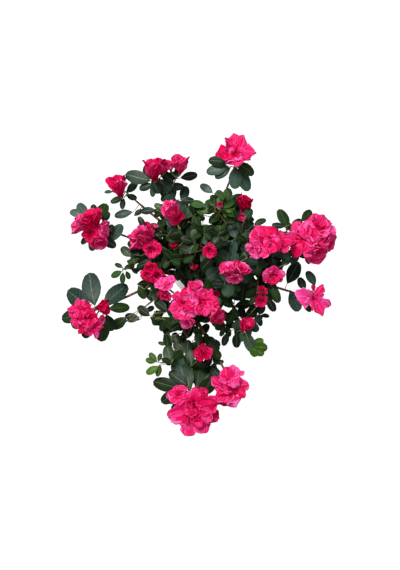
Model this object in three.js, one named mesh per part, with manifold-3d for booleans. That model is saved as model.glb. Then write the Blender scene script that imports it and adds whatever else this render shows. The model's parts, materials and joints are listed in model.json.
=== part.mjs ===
// A pot azalea in full flower: a white glazed pot, its soil, a short leaning trunk, long thin
// boughs and, at the end of each bough, one mass of leafy twigs with double pink blooms.
// Millimetres and degrees, +Z up. The origin is the middle of the pot's flat underside.
// A bearing is counted from +X towards +Y, as seen from above.

import * as THREE from 'three'
import { mergeVertices } from 'three/addons/utils/BufferGeometryUtils.js'
import Module from 'manifold-3d'

const wasm = await Module()
wasm.setup()

// Clearances: pieces that meet keep GAP, a limb is cut back SLEEVE from those made before it, and
// foliage keeps FOLIAGE_GAP to all that isn't its own.
const GAP = 0.3
const SLEEVE = 0.45
const FOLIAGE_GAP = 0.6
const LIMB_EDGE = 0.02
const FOLIAGE_EDGE = 0.28

// Pot and soil
const POT_HEIGHT = 112
const POT_FOOT_RADIUS = 47
const POT_BODY_RADIUS = 57
const POT_RIM_RADIUS = 61
const POT_RIM_HEIGHT = 15
const POT_WALL = 5
const POT_FLOOR = 7
const POT_LIP_ROUND = 3
const POT_SIDES = 24
const SOIL_LEVEL = 97
const SOIL_MOUND = 2
const SOIL_FLAT_RADIUS = 22

// Trunk, from its flat foot on the soil to its fork
const TRUNK_FOOT = new THREE.Vector3(3, 4, SOIL_LEVEL + SOIL_MOUND + GAP)
const TRUNK_FORK = new THREE.Vector3(-17, -17, 156)
const TRUNK_RADIUS = 7.5
const TRUNK_TIP_RADIUS = 5
const TRUNK_FLARE = 6
const TRUNK_FLARE_POWER = 7
const TRUNK_SIDES = 10
const TRUNK_STEPS = 6
const TRUNK_BEND = 0.4
const TRUNK_TIP_BEARING = 225
const TRUNK_TIP_TILT = 24

// Boughs and twigs. A bough is BOUGH_SHARE of its curve, and the stem of its mass is the rest.
const BOUGH_SIDES = 5
const BOUGH_STEPS = 5
const BOUGH_BEND = 0.36
const BOUGH_TRUNK_RADIUS = 3.6
const BOUGH_FORK_RADIUS = 2.7
const BOUGH_TIP_RADIUS = 1.8
const BOUGH_PARENT_SHARE = 0.9
const BOUGH_START_TILT = 42
const BOUGH_SHARE = 0.7
const TWIG_SIDES = 3
const TWIG_STEPS = 2
const TWIG_RADIUS = 1.6
const TWIG_TIP_RADIUS = 1.3
const SIDE_TILT = 58
const SIDE_FOLLOWS = 0.4
const SIDE_FIRST = 0.8
const SIDE_LAST = 0.93
const SHOOT_TURN = 60

// Leaves: a whorl round each shoot's tip, and a few down its stem
const GOLDEN_ANGLE = 137.5
const LEAF_WIDTH = 0.6
const LEAF_FOOT_WIDTH = 0.82
const LEAF_WIDENS = 0.36
const LEAF_SIDES = 4
const LEAF_MIDDLE = 0.55
const LEAF_THICKNESS = 0.07
const LEAF_SINK = 0.3
const LEAF_FREE = 0.25
const LEAF_APART = 0.15
const WHORL_DEPTH = 0.4
const WHORL_DEEPEST = 0.8
const WHORL_TOP = 0.01
const SIDE_WHORL_LESS = 3
const SIDE_LEAF_SIZE = 0.85
const LEAF_OPEN_TOP = 58
const LEAF_OPEN_FOOT = 92
const LEAF_YOUNG = 0.72
const LEAF_FLATTEN = 0.6
const LEAF_LIFT = 0.1
const LEAF_FACES_SKY = 0.65
const LEAF_DROOP = 0.12
const STEM_LEAVES = 2
const STEM_LEAF_SIZE = 0.7
const STEM_LEAF_OPEN = 66
const STEM_LEAF_LOW = 0.6
const STEM_LEAF_TURN = 90

// Blooms: an outer and an inner ring of petals on a short stalk, in petal lengths
const OUTER_PETALS = 5
const OUTER_NOTCH = 0.72
const INNER_REACH = 0.6
const INNER_NOTCH = 0.55
const INNER_RISE = 0.2
const INNER_DIP = 0.3
const BLOOM_FOOT = 0.16
const SINGLE = { splay: 8, stalkLength: 0.36, facesSky: 0.45 }
const TRUSS = { splay: 40, stalkLength: 0.68, facesSky: 0.2 }
const SIDE_BLOOM_SIZE = 0.8
const BLOOM_TURN = 36
const STALK_ROOT = 2.6

// Chance: the spread of a leaf's size, as a share, and of its angles, in degrees
const SEED = 1871
const SEEDS_PER_MASS = 100
const SIZE_SPREAD = 0.16
const OPENING_SPREAD = 16
const WHORL_TURN_SPREAD = 30
const STEM_TURN_SPREAD = 60

// Each row is one bough with the mass at its end. from and fork tell where it leaves its parent,
// bearing, reach and height where its leading shoot ends, and tilt how far that leans out. leaf is
// the length of the largest leaves and whorl their number round the tip. sides and spread are the
// number and length of the side shoots. blooms are those on the leading shoot, sideBlooms the side
// shoots that carry one, petal their size and open how far they have opened. turn is the whole
// mass's turn round its stem. What a row leaves out is as in PLAIN.
const PLAIN = { sides: 0, spread: 0, sideBlooms: 0, blooms: 0, petal: 0, open: 0 }
const PLAN = [
  { name: 'centre', from: 'trunk', fork: 1, bearing: 275, reach: 16, height: 304, tilt: 8,
    leaf: 29, whorl: 7, sides: 2, spread: 32, blooms: 1, petal: 13, open: 50, turn: 200 },
  { name: 'west', from: 'trunk', fork: 0.86, bearing: 170, reach: 168, height: 248, tilt: 46,
    leaf: 36, whorl: 7, blooms: 3, petal: 25, open: 62, turn: 40 },
  { name: 'south_west', from: 'trunk', fork: 0.74, bearing: 209, reach: 212, height: 226, tilt: 42,
    leaf: 52, whorl: 8, sides: 1, spread: 26, blooms: 3, petal: 23, open: 60, turn: 260 },
  { name: 'south', from: 'trunk', fork: 0.92, bearing: 266, reach: 243, height: 222, tilt: 42,
    leaf: 46, whorl: 10, sides: 2, spread: 27, sideBlooms: 1, blooms: 3, petal: 30, open: 66, turn: 205 },
  { name: 'east', from: 'trunk', fork: 0.96, bearing: 3, reach: 148, height: 256, tilt: 36,
    leaf: 36, whorl: 8, sides: 1, spread: 30, blooms: 3, petal: 31, open: 68, turn: 130 },
  { name: 'south_east', from: 'trunk', fork: 0.82, bearing: 298, reach: 132, height: 222, tilt: 32,
    leaf: 32, whorl: 7, sides: 2, spread: 34, blooms: 1, petal: 16, open: 40, turn: 280 },
  { name: 'north', from: 'centre', fork: 0.3, bearing: 70, reach: 128, height: 283, tilt: 38,
    leaf: 36, whorl: 8, blooms: 1, petal: 29, open: 66, turn: 190 },
  { name: 'north_west', from: 'centre', fork: 0.18, bearing: 126, reach: 122, height: 272, tilt: 34,
    leaf: 38, whorl: 9, sides: 2, spread: 26, sideBlooms: 1, blooms: 1, petal: 27, open: 40, turn: 40 },
  { name: 'front', from: 'centre', fork: 0.1, bearing: 259, reach: 92, height: 276, tilt: 18,
    leaf: 30, whorl: 7, sides: 2, spread: 36, sideBlooms: 1, blooms: 2, petal: 28, open: 68, turn: 175 },
  { name: 'south_stem', from: 'south', fork: 0.34, bearing: 257, reach: 150, height: 196, tilt: 40,
    leaf: 32, whorl: 7, sides: 3, spread: 38, sideBlooms: 1, blooms: 0, petal: 19, open: 60, turn: 320 },
  { name: 'south_west_twig', from: 'south_west', fork: 0.2, bearing: 222, reach: 134, height: 196, tilt: 46,
    leaf: 26, whorl: 6, sides: 2, spread: 34, turn: 300 },
  { name: 'crown_north', from: 'north', fork: 0.6, bearing: 66, reach: 50, height: 284, tilt: 12,
    leaf: 27, whorl: 7, sides: 1, spread: 26, blooms: 1, petal: 15, open: 16, turn: 200 },
  { name: 'north_east', from: 'north', fork: 0.45, bearing: 42, reach: 76, height: 248, tilt: 20,
    leaf: 28, whorl: 7, sides: 1, spread: 26, blooms: 1, petal: 20, open: 50, turn: 50 },
  { name: 'inner_north', from: 'north_west', fork: 0.45, bearing: 146, reach: 62, height: 284, tilt: 18,
    leaf: 32, whorl: 7, sides: 1, spread: 30, blooms: 1, petal: 24, open: 60, turn: 300 },
  { name: 'west_north', from: 'north_west', fork: 0.3, bearing: 146, reach: 150, height: 250, tilt: 36,
    leaf: 26, whorl: 7, blooms: 1, petal: 24, open: 30, turn: 230 },
  { name: 'inner_west', from: 'west', fork: 0.4, bearing: 176, reach: 84, height: 256, tilt: 26,
    leaf: 32, whorl: 7, sides: 2, spread: 22, sideBlooms: 1, blooms: 1, petal: 26, open: 46, turn: 250 },
  { name: 'west_twig', from: 'south_west', fork: 0.36, bearing: 193, reach: 134, height: 214, tilt: 46,
    leaf: 18, whorl: 7, sides: 1, spread: 20, turn: 20 },
  { name: 'inner_south_west', from: 'south_west', fork: 0.45, bearing: 205, reach: 92, height: 252, tilt: 22,
    leaf: 30, whorl: 7, sides: 1, spread: 32, blooms: 2, petal: 17, open: 56, turn: 240 },
  { name: 'inner_east', from: 'centre', fork: 0.55, bearing: 308, reach: 60, height: 297, tilt: 16,
    leaf: 29, whorl: 7, sides: 1, spread: 32, blooms: 2, petal: 20, open: 60, turn: 30 },
  { name: 'inner_north_east', from: 'east', fork: 0.35, bearing: 14, reach: 58, height: 262, tilt: 20,
    leaf: 30, whorl: 7, sides: 2, spread: 32, turn: 80 },
  { name: 'east_inner', from: 'east', fork: 0.5, bearing: 356, reach: 94, height: 272, tilt: 22,
    leaf: 32, whorl: 7, sides: 1, spread: 32, blooms: 2, petal: 26, open: 66, turn: 10 },
  { name: 'inner_south_east', from: 'south_east', fork: 0.4, bearing: 333, reach: 104, height: 256, tilt: 28,
    leaf: 29, whorl: 7, sides: 2, spread: 34, sideBlooms: 1, blooms: 1, petal: 20, open: 58, turn: 250 },
  { name: 'east_south', from: 'inner_south_east', fork: 0.55, bearing: 334, reach: 172, height: 224, tilt: 42,
    leaf: 32, whorl: 7, blooms: 1, petal: 30, open: 72, turn: 190 },
  { name: 'inner_south', from: 'south_east', fork: 0.55, bearing: 281, reach: 106, height: 240, tilt: 24,
    leaf: 30, whorl: 7, sides: 1, spread: 30, blooms: 1, petal: 18, open: 55, turn: 60 },
  { name: 'heart_west', from: 'centre', fork: 0.4, bearing: 184, reach: 32, height: 284, tilt: 14,
    leaf: 27, whorl: 7, sides: 1, spread: 26, blooms: 1, petal: 10, open: 40, turn: 120 },
  { name: 'heart_south', from: 'south_east', fork: 0.25, bearing: 278, reach: 70, height: 256, tilt: 16,
    leaf: 27, whorl: 7, sides: 1, spread: 26, blooms: 1, petal: 14, open: 50, turn: 220 },
  { name: 'heart_north', from: 'north', fork: 0.3, bearing: 104, reach: 26, height: 262, tilt: 12,
    leaf: 27, whorl: 7, sides: 1, spread: 26, turn: 170 },
  { name: 'south_side', from: 'south', fork: 0.6, bearing: 279, reach: 208, height: 222, tilt: 38,
    leaf: 34, whorl: 6, blooms: 2, petal: 26, open: 60, turn: 85 }
].map((row) => ({ ...PLAIN, ...row }))

// Finishes
const glaze = new THREE.MeshStandardMaterial({ color: 0xf1f0ee, roughness: 0.25, metalness: 0 })
const earth = new THREE.MeshStandardMaterial({ color: 0x35261c, roughness: 1, metalness: 0 })
const bark = new THREE.MeshStandardMaterial({ color: 0x6b5643, roughness: 0.9, metalness: 0 })
const leaf = new THREE.MeshStandardMaterial({ color: 0x2c4538, roughness: 0.5, metalness: 0 })
const blossom = new THREE.MeshStandardMaterial({ color: 0xe8125f, roughness: 0.6, metalness: 0 })

const UP = new THREE.Vector3(0, 0, 1)
const EAST = new THREE.Vector3(1, 0, 0)

const radians = THREE.MathUtils.degToRad
const degrees = THREE.MathUtils.radToDeg
const blend = THREE.MathUtils.lerp

// A direction that leans tilt degrees from upright, towards a bearing.
function leaning(bearing, tilt) {
  const across = Math.sin(radians(tilt))
  return new THREE.Vector3(
    across * Math.cos(radians(bearing)), across * Math.sin(radians(bearing)), Math.cos(radians(tilt)))
}

// A seeded run of chance: each call of the function it returns gives the next number from 0 to 1.
function chanceFrom(seed) {
  let state = seed >>> 0
  return () => {
    state = (state + 0x6d2b79f5) >>> 0
    let mixed = Math.imul(state ^ (state >>> 15), state | 1)
    mixed ^= mixed + Math.imul(mixed ^ (mixed >>> 7), mixed | 61)
    return ((mixed ^ (mixed >>> 14)) >>> 0) / 2 ** 32
  }
}

// A closed three.js geometry as a solid that can be joined and cut.
function solidOf(geometry) {
  const bare = geometry.index ? geometry.toNonIndexed() : geometry.clone()
  bare.deleteAttribute('normal')
  bare.deleteAttribute('uv')
  const merged = mergeVertices(bare, 1e-4)
  return new wasm.Manifold(new wasm.Mesh({
    numProp: 3,
    vertProperties: new Float32Array(merged.attributes.position.array),
    triVerts: new Uint32Array(merged.index.array)
  }))
}

function geometryOf(solid) {
  const mesh = solid.getMesh()
  const geometry = new THREE.BufferGeometry()
  geometry.setAttribute('position', new THREE.BufferAttribute(mesh.vertProperties.slice(), 3))
  geometry.setIndex(new THREE.BufferAttribute(mesh.triVerts.slice(), 1))
  const faceted = geometry.toNonIndexed()
  faceted.computeVertexNormals()
  return faceted
}

// The largest body of a solid: loose scraps go, and a hollow sealed inside it is filled.
function largestBody(solid) {
  return solid.decompose().reduce((best, body) => (body.volume() > best.volume() ? body : best))
}

// Two directions square to a third; the first lies as near to east as it can.
function squareTo(direction) {
  const first = EAST.clone().addScaledVector(direction, -EAST.dot(direction)).normalize()
  return [first, new THREE.Vector3().crossVectors(direction, first)]
}

// A limb: rings of sides points carried along a curve from one parameter to another, where
// radiusAt gives the radius from the way done, 0 to 1. Both ends are flat and closed.
function limb(curve, from, to, radiusAt, sides, steps) {
  const geometry = new THREE.CylinderGeometry(1, 1, 1, sides, steps)
  const position = geometry.attributes.position
  const rings = []
  const tangentAt = (at) => curve.getTangent(THREE.MathUtils.clamp(at, 0, 1))
  let [across] = squareTo(tangentAt(from))
  for (let step = 0; step <= steps; step++) {
    const at = blend(from, to, step / steps)
    const along = tangentAt(at)
    across = across.clone().addScaledVector(along, -across.dot(along)).normalize()
    rings.push({
      middle: curve.getPoint(at), across, over: new THREE.Vector3().crossVectors(across, along),
      radius: radiusAt(step / steps)
    })
  }
  const point = new THREE.Vector3()
  for (let i = 0; i < position.count; i++) {
    point.fromBufferAttribute(position, i)
    const ring = rings[Math.round((point.y + 0.5) * steps)]
    const placed = ring.middle.clone()
      .addScaledVector(ring.across, point.x * ring.radius)
      .addScaledVector(ring.over, point.z * ring.radius)
    position.setXYZ(i, placed.x, placed.y, placed.z)
  }
  return solidOf(geometry)
}

// A curve that leaves its start and reaches its end along the given directions.
function bentCurve(start, startDirection, end, endDirection, bend) {
  const pull = start.distanceTo(end) * bend
  return new THREE.CubicBezierCurve3(
    start,
    start.clone().addScaledVector(startDirection, pull),
    end.clone().addScaledVector(endDirection, -pull),
    end)
}

// A leaf's blade: a ball of few faces drawn out along a direction into a thin lens, wider towards
// its tip, with its tip and edges drooping away from the side that its face looks to.
function blade(root, direction, face, length, width) {
  const geometry = new THREE.SphereGeometry(1, LEAF_SIDES, 2)
  geometry.rotateX(Math.PI / 2)
  const position = geometry.attributes.position
  const normal = face.clone().addScaledVector(direction, -face.dot(direction)).normalize()
  const side = new THREE.Vector3().crossVectors(normal, direction)
  for (let i = 0; i < position.count; i++) {
    const along = 0.5 + 0.5 * position.getX(i)
    const across = 0.5 * position.getY(i) * (LEAF_FOOT_WIDTH + LEAF_WIDENS * along)
    const over = 0.5 * position.getZ(i) * LEAF_THICKNESS - LEAF_DROOP * (along ** 2 + across ** 2)
    const placed = root.clone()
      .addScaledVector(direction, along * length)
      .addScaledVector(side, across * width)
      .addScaledVector(normal, over * length)
    position.setXYZ(i, placed.x, placed.y, placed.z)
  }
  return solidOf(geometry)
}

// One bloom, a single closed body: from its stalk it widens underneath to a ring of notched
// outer petals, comes back over them to a raised ring of inner petals, and dips in the middle.
// Each ring has the reach and the height of its petals and of the notches between them, in petal
// lengths, and the inner petals stand over the outer notches.
function bloom(middle, axis, petal, open, turn) {
  const [first, second] = squareTo(axis)
  const spread = Math.sin(radians(open))
  const rise = Math.cos(radians(open))
  const crest = blend(rise, 1, INNER_RISE)
  const dip = crest - INNER_DIP
  const inner = spread * INNER_REACH
  const rings = [
    { reach: 0, notch: 0, lift: dip, notchLift: dip, shift: 0 },
    { reach: inner, notch: inner * INNER_NOTCH, lift: crest, notchLift: dip, shift: 1 },
    { reach: spread, notch: spread * OUTER_NOTCH, lift: rise, notchLift: rise * OUTER_NOTCH, shift: 0 },
    { reach: 0, notch: 0, lift: -BLOOM_FOOT, notchLift: -BLOOM_FOOT, shift: 0 }
  ]
  const around = OUTER_PETALS * 2
  const geometry = new THREE.SphereGeometry(1, around, rings.length - 1)
  const { position, uv } = geometry.attributes
  for (let i = 0; i < position.count; i++) {
    const ring = rings[Math.round((1 - uv.getY(i)) * (rings.length - 1))]
    const step = Math.round(uv.getX(i) * around)
    const inNotch = (step + ring.shift) % 2
    const reach = blend(ring.reach, ring.notch, inNotch) * petal
    const lift = blend(ring.lift, ring.notchLift, inNotch) * petal
    const angle = radians(turn + (step * 360) / around)
    const placed = middle.clone()
      .addScaledVector(first, -Math.cos(angle) * reach)
      .addScaledVector(second, -Math.sin(angle) * reach)
      .addScaledVector(axis, lift)
    position.setXYZ(i, placed.x, placed.y, placed.z)
  }
  return solidOf(geometry)
}

// The pot, turned round its axis: a flat foot, a wall that widens, a thick rolled rim, a floor.
function pot() {
  const inner = POT_RIM_RADIUS - POT_WALL - POT_LIP_ROUND
  const profile = new THREE.Path()
  profile.moveTo(0, 0)
  profile.lineTo(POT_FOOT_RADIUS, 0)
  profile.lineTo(POT_BODY_RADIUS, POT_HEIGHT - POT_RIM_HEIGHT)
  profile.lineTo(POT_RIM_RADIUS, POT_HEIGHT - POT_RIM_HEIGHT + POT_LIP_ROUND)
  profile.lineTo(POT_RIM_RADIUS, POT_HEIGHT - POT_LIP_ROUND)
  profile.lineTo(POT_RIM_RADIUS - POT_LIP_ROUND, POT_HEIGHT)
  profile.lineTo(inner + POT_LIP_ROUND, POT_HEIGHT)
  profile.lineTo(inner, POT_HEIGHT - POT_LIP_ROUND)
  profile.lineTo(POT_FOOT_RADIUS - POT_WALL, POT_FLOOR)
  profile.lineTo(0, POT_FLOOR)
  return turned(profile)
}

// The radius of the pot's inner wall at a height.
function potInside(height) {
  const low = POT_FOOT_RADIUS - POT_WALL
  const high = POT_RIM_RADIUS - POT_WALL - POT_LIP_ROUND
  return blend(low, high, (height - POT_FLOOR) / (POT_HEIGHT - POT_LIP_ROUND - POT_FLOOR))
}

// The soil fills the pot and rises a little to a flat middle, where the trunk stands.
function soil() {
  const profile = new THREE.Path()
  profile.moveTo(0, POT_FLOOR + GAP)
  profile.lineTo(potInside(POT_FLOOR + GAP) - 2 * GAP, POT_FLOOR + GAP)
  profile.lineTo(potInside(SOIL_LEVEL) - 2 * GAP, SOIL_LEVEL)
  profile.lineTo(SOIL_FLAT_RADIUS, SOIL_LEVEL + SOIL_MOUND)
  profile.lineTo(0, SOIL_LEVEL + SOIL_MOUND)
  return turned(profile)
}

function turned(profile) {
  const geometry = new THREE.LatheGeometry(profile.getPoints(1), POT_SIDES)
  geometry.rotateX(Math.PI / 2)
  return solidOf(geometry)
}

// Limbs by name: the curve each follows, the part of it that is wood, and the radius along it.
const limbs = new Map()

function addLimb(name, curve, share, radiusAt, sides, steps) {
  const beyond = SLEEVE / curve.getLength()
  let solid = limb(curve, 0, share, radiusAt, sides, steps)
  for (const other of limbs.values()) {
    solid = solid.subtract(other.sleeve)
  }
  limbs.set(name, {
    curve, share, radiusAt, solid: largestBody(solid).simplify(LIMB_EDGE),
    sleeve: limb(curve, -beyond, share + beyond, (way) => radiusAt(way) + SLEEVE, sides, steps)
  })
}

function trunk() {
  const curve = bentCurve(TRUNK_FOOT, UP, TRUNK_FORK, leaning(TRUNK_TIP_BEARING, TRUNK_TIP_TILT), TRUNK_BEND)
  const radiusAt = (way) =>
    blend(TRUNK_RADIUS, TRUNK_TIP_RADIUS, way) + TRUNK_FLARE * (1 - way) ** TRUNK_FLARE_POWER
  addLimb('trunk', curve, 1, radiusAt, TRUNK_SIDES, TRUNK_STEPS)
}

// A bough and the stem of its mass follow one curve; the bough is the first share of it.
function bough(row) {
  const parent = limbs.get(row.from)
  const start = parent.curve.getPoint(parent.share * row.fork)
  const wide = Math.min(
    row.from === 'trunk' ? BOUGH_TRUNK_RADIUS : BOUGH_FORK_RADIUS,
    parent.radiusAt(row.fork) * BOUGH_PARENT_SHARE)
  const end = leaning(row.bearing, 90).multiplyScalar(row.reach).setZ(row.height)
  const away = end.clone().sub(start)
  const heading = degrees(Math.atan2(away.y, away.x))
  const startTilt = Math.min(BOUGH_START_TILT, degrees(UP.angleTo(away)))
  const curve = bentCurve(
    start, leaning(heading, startTilt), end, leaning(row.bearing, row.tilt), BOUGH_BEND)
  const radiusAt = (way) => blend(wide, BOUGH_TIP_RADIUS, way)
  addLimb(row.name, curve, BOUGH_SHARE, radiusAt, BOUGH_SIDES, BOUGH_STEPS)
}

// The shoots of a mass: the leading one first, then its side shoots, each on a curve of its own.
function shootsOf(row) {
  const { curve } = limbs.get(row.name)
  const first = BOUGH_SHARE + GAP / curve.getLength()
  const { leaf, whorl, blooms, petal } = row
  const shoots = [{ curve, first, leaf, whorl, blooms, petal, stem: STEM_LEAVES }]
  for (let k = 0; k < row.sides; k++) {
    const at = blend(SIDE_FIRST, SIDE_LAST, row.sides > 1 ? k / (row.sides - 1) : 0.5)
    const start = curve.getPoint(at)
    const bearing = row.turn + k * GOLDEN_ANGLE
    const end = start.clone()
      .addScaledVector(leaning(bearing, SIDE_TILT), row.spread)
      .addScaledVector(curve.getTangent(1), row.spread * SIDE_FOLLOWS)
    shoots.push({
      curve: new THREE.LineCurve3(start, end),
      first: 0,
      leaf: leaf * SIDE_LEAF_SIZE,
      whorl: whorl - SIDE_WHORL_LESS,
      blooms: k < row.sideBlooms ? 1 : 0,
      petal: petal * SIDE_BLOOM_SIZE,
      stem: 0
    })
  }
  return shoots
}

// How far a point is from the straight line between a shoot's ends.
function distanceTo(shoot, point) {
  const line = new THREE.Line3(shoot.curve.getPoint(shoot.first), shoot.curve.getPoint(1))
  return line.closestPointToPoint(point, true, new THREE.Vector3()).distanceTo(point)
}

// A mass's own space is all that lies nearer to its shoots than to those of any other mass.
function inOwnSpace(name, point) {
  let own = Infinity
  let other = Infinity
  for (const [owner, shoots] of shootsByName) {
    for (const shoot of shoots) {
      const distance = distanceTo(shoot, point)
      if (owner === name) own = Math.min(own, distance)
      else other = Math.min(other, distance)
    }
  }
  return own <= other
}

// All that stands already, with its box, so that what comes after keeps clear of it.
const standing = []

function stand(owner, solid) {
  const box = solid.boundingBox()
  standing.push({ owner, solid, box })
}

function isClear(owner, solid) {
  const box = solid.boundingBox()
  return standing.every((thing) => {
    if (thing.owner === owner) return true
    for (let axis = 0; axis < 3; axis++) {
      if (box.min[axis] - FOLIAGE_GAP > thing.box.max[axis]) return true
      if (box.max[axis] + FOLIAGE_GAP < thing.box.min[axis]) return true
    }
    return solid.minGap(thing.solid, FOLIAGE_GAP) >= FOLIAGE_GAP
  })
}

// The leaf that stands at a place on a shoot, at an angle round it, opened away from its tip. free
// is the part of it that is clear of the stem.
function leafOn(curve, at, turn, opening, length) {
  const along = curve.getTangent(at)
  const [first, second] = squareTo(along)
  const outward = first.multiplyScalar(Math.cos(radians(turn)))
    .addScaledVector(second, Math.sin(radians(turn)))
  const direction = along.clone().multiplyScalar(Math.cos(radians(opening)))
    .addScaledVector(outward, Math.sin(radians(opening)))
  direction.z = direction.z * LEAF_FLATTEN + LEAF_LIFT
  direction.normalize()
  const face = UP.clone().multiplyScalar(LEAF_FACES_SKY).addScaledVector(along, 1 - LEAF_FACES_SKY)
  const root = curve.getPoint(at).addScaledVector(direction, -LEAF_SINK)
  const width = length * LEAF_WIDTH
  const freeRoot = root.clone().addScaledVector(direction, length * LEAF_FREE)
  return {
    middle: root.clone().addScaledVector(direction, length * LEAF_MIDDLE),
    solid: blade(root, direction, face, length, width),
    free: blade(freeRoot, direction, face, length * (1 - LEAF_FREE), width)
  }
}

// All leaves of a shoot by the growing rule: the whorl from the top down, then the stem's own.
function leavesOf(shoot, turn, chance) {
  const reach = shoot.curve.getPoint(shoot.first).distanceTo(shoot.curve.getPoint(1))
  const depth = Math.min(WHORL_DEEPEST, (shoot.leaf * WHORL_DEPTH) / reach) * (1 - shoot.first)
  const leaves = []
  for (let i = 0; i < shoot.whorl; i++) {
    const down = i / (shoot.whorl - 1)
    const size = shoot.leaf * blend(LEAF_YOUNG, 1, down) * (1 + SIZE_SPREAD * (chance() - 0.5))
    const opening = blend(LEAF_OPEN_TOP, LEAF_OPEN_FOOT, down) + OPENING_SPREAD * (chance() - 0.5)
    const angle = turn + i * GOLDEN_ANGLE + WHORL_TURN_SPREAD * (chance() - 0.5)
    leaves.push(leafOn(shoot.curve, 1 - WHORL_TOP - depth * down, angle, opening, size))
  }
  for (let i = 0; i < shoot.stem; i++) {
    const place = (i + blend(STEM_LEAF_LOW, 1, chance())) / (shoot.stem + 1)
    const at = blend(shoot.first, 1 - depth, place)
    const angle = turn + STEM_LEAF_TURN + i * GOLDEN_ANGLE + STEM_TURN_SPREAD * (chance() - 0.5)
    const size = shoot.leaf * STEM_LEAF_SIZE * (1 + SIZE_SPREAD * (chance() - 0.5))
    leaves.push(leafOn(shoot.curve, at, angle, STEM_LEAF_OPEN, size))
  }
  return leaves
}

// The truss at a shoot's tip: one bloom, or several splayed round it, each with its stalk.
function trussOf(shoot, open, turn) {
  const tip = shoot.curve.getPoint(1)
  const along = shoot.curve.getTangent(1)
  const [first, second] = squareTo(along)
  const { splay, stalkLength, facesSky } = shoot.blooms > 1 ? TRUSS : SINGLE
  const across = Math.sin(radians(splay))
  const flowers = []
  for (let k = 0; k < shoot.blooms; k++) {
    const angle = radians(turn + (k * 360) / shoot.blooms)
    const direction = along.clone().multiplyScalar(Math.cos(radians(splay)))
      .addScaledVector(first, Math.cos(angle) * across)
      .addScaledVector(second, Math.sin(angle) * across)
    const middle = tip.clone().addScaledVector(direction, shoot.petal * stalkLength)
    const axis = direction.clone().addScaledVector(UP, facesSky).normalize()
    const back = tip.clone().addScaledVector(along, -STALK_ROOT)
    const stalk = limb(new THREE.LineCurve3(back, middle), 0, 1, () => TWIG_TIP_RADIUS, TWIG_SIDES, 1)
    const flower = bloom(middle, axis, shoot.petal, open, turn + k * BLOOM_TURN)
    flowers.push({ middle, solid: stalk.add(flower) })
  }
  return flowers
}

// One mass: its stems, its blooms and then its leaves, each kept only where it has room.
function mass(row, number) {
  const shoots = shootsByName.get(row.name)
  const kept = [stemsByName.get(row.name)]
  const grow = (piece) => {
    if (!inOwnSpace(row.name, piece.middle) || !isClear(row.name, piece.solid)) return
    if (piece.free && kept.some((other) => piece.free.minGap(other, LEAF_APART) < LEAF_APART)) return
    kept.push(piece.solid)
    stand(row.name, piece.solid)
  }
  shoots.forEach((shoot, k) => {
    trussOf(shoot, row.open, row.turn + k * SHOOT_TURN).forEach(grow)
  })
  shoots.forEach((shoot, k) => {
    const chance = chanceFrom(SEED + SEEDS_PER_MASS * number + k)
    leavesOf(shoot, row.turn + k * SHOOT_TURN, chance).forEach(grow)
  })
  return largestBody(wasm.Manifold.union(kept)).simplify(FOLIAGE_EDGE)
}

// The stems of a mass, joined: the leading one and each side shoot that touches nothing else.
function stemsOf(row) {
  const shoots = shootsByName.get(row.name)
  const free = []
  const stems = []
  shoots.forEach((shoot, k) => {
    const start = k === 0 ? BOUGH_TIP_RADIUS : TWIG_RADIUS
    const radiusAt = (way) => blend(start, TWIG_TIP_RADIUS, way)
    const stem = limb(shoot.curve, shoot.first, 1, radiusAt, TWIG_SIDES, k === 0 ? TWIG_STEPS : 1)
    if (k > 0 && !isClear(row.name, stem)) return
    free.push(shoot)
    stems.push(stem)
  })
  shootsByName.set(row.name, free)
  return wasm.Manifold.union(stems)
}

const group = new THREE.Group()

function add(name, solid, material) {
  const mesh = new THREE.Mesh(geometryOf(solid), material)
  mesh.name = name
  group.add(mesh)
}

const potSolid = pot()
const soilSolid = soil()
stand('pot', potSolid)
stand('soil', soilSolid)
add('pot', potSolid, glaze)
add('soil', soilSolid, earth)

trunk()
PLAN.forEach(bough)
for (const [name, { solid }] of limbs) {
  stand('limbs', solid)
  add(name === 'trunk' ? name : `bough_${name}`, solid, bark)
}

const shootsByName = new Map(PLAN.map((row) => [row.name, shootsOf(row)]))
const stemsByName = new Map()
for (const row of PLAN) {
  // A stem starts GAP beyond its own bough, nearer than foliage may come to anything else.
  const stems = stemsOf(row)
  stemsByName.set(row.name, stems)
  stand(row.name, stems)
}
PLAN.forEach((row, number) => {
  add(`foliage_${row.name}`, mass(row, number), row.blooms > 1 ? blossom : leaf)
})

export default group
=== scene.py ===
# %% [markdown]
# A potted azalea in full flower. The plant is a florist's azalea: a short leaning trunk in a white
# glazed pot, long thin boughs, whorls of leathery leaves and ruffled double blooms. The frame gives
# the pot, the soil, the trunk, the boughs and a plain mass of foliage at the end of each bough. This
# script grows the fine plant on the same limbs. Every shape is a surface worked out with numpy, so a
# leaf or a petal is one formula, and a thousand of them are the same formula on longer arrays.

# %% Load the frame
import json

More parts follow.
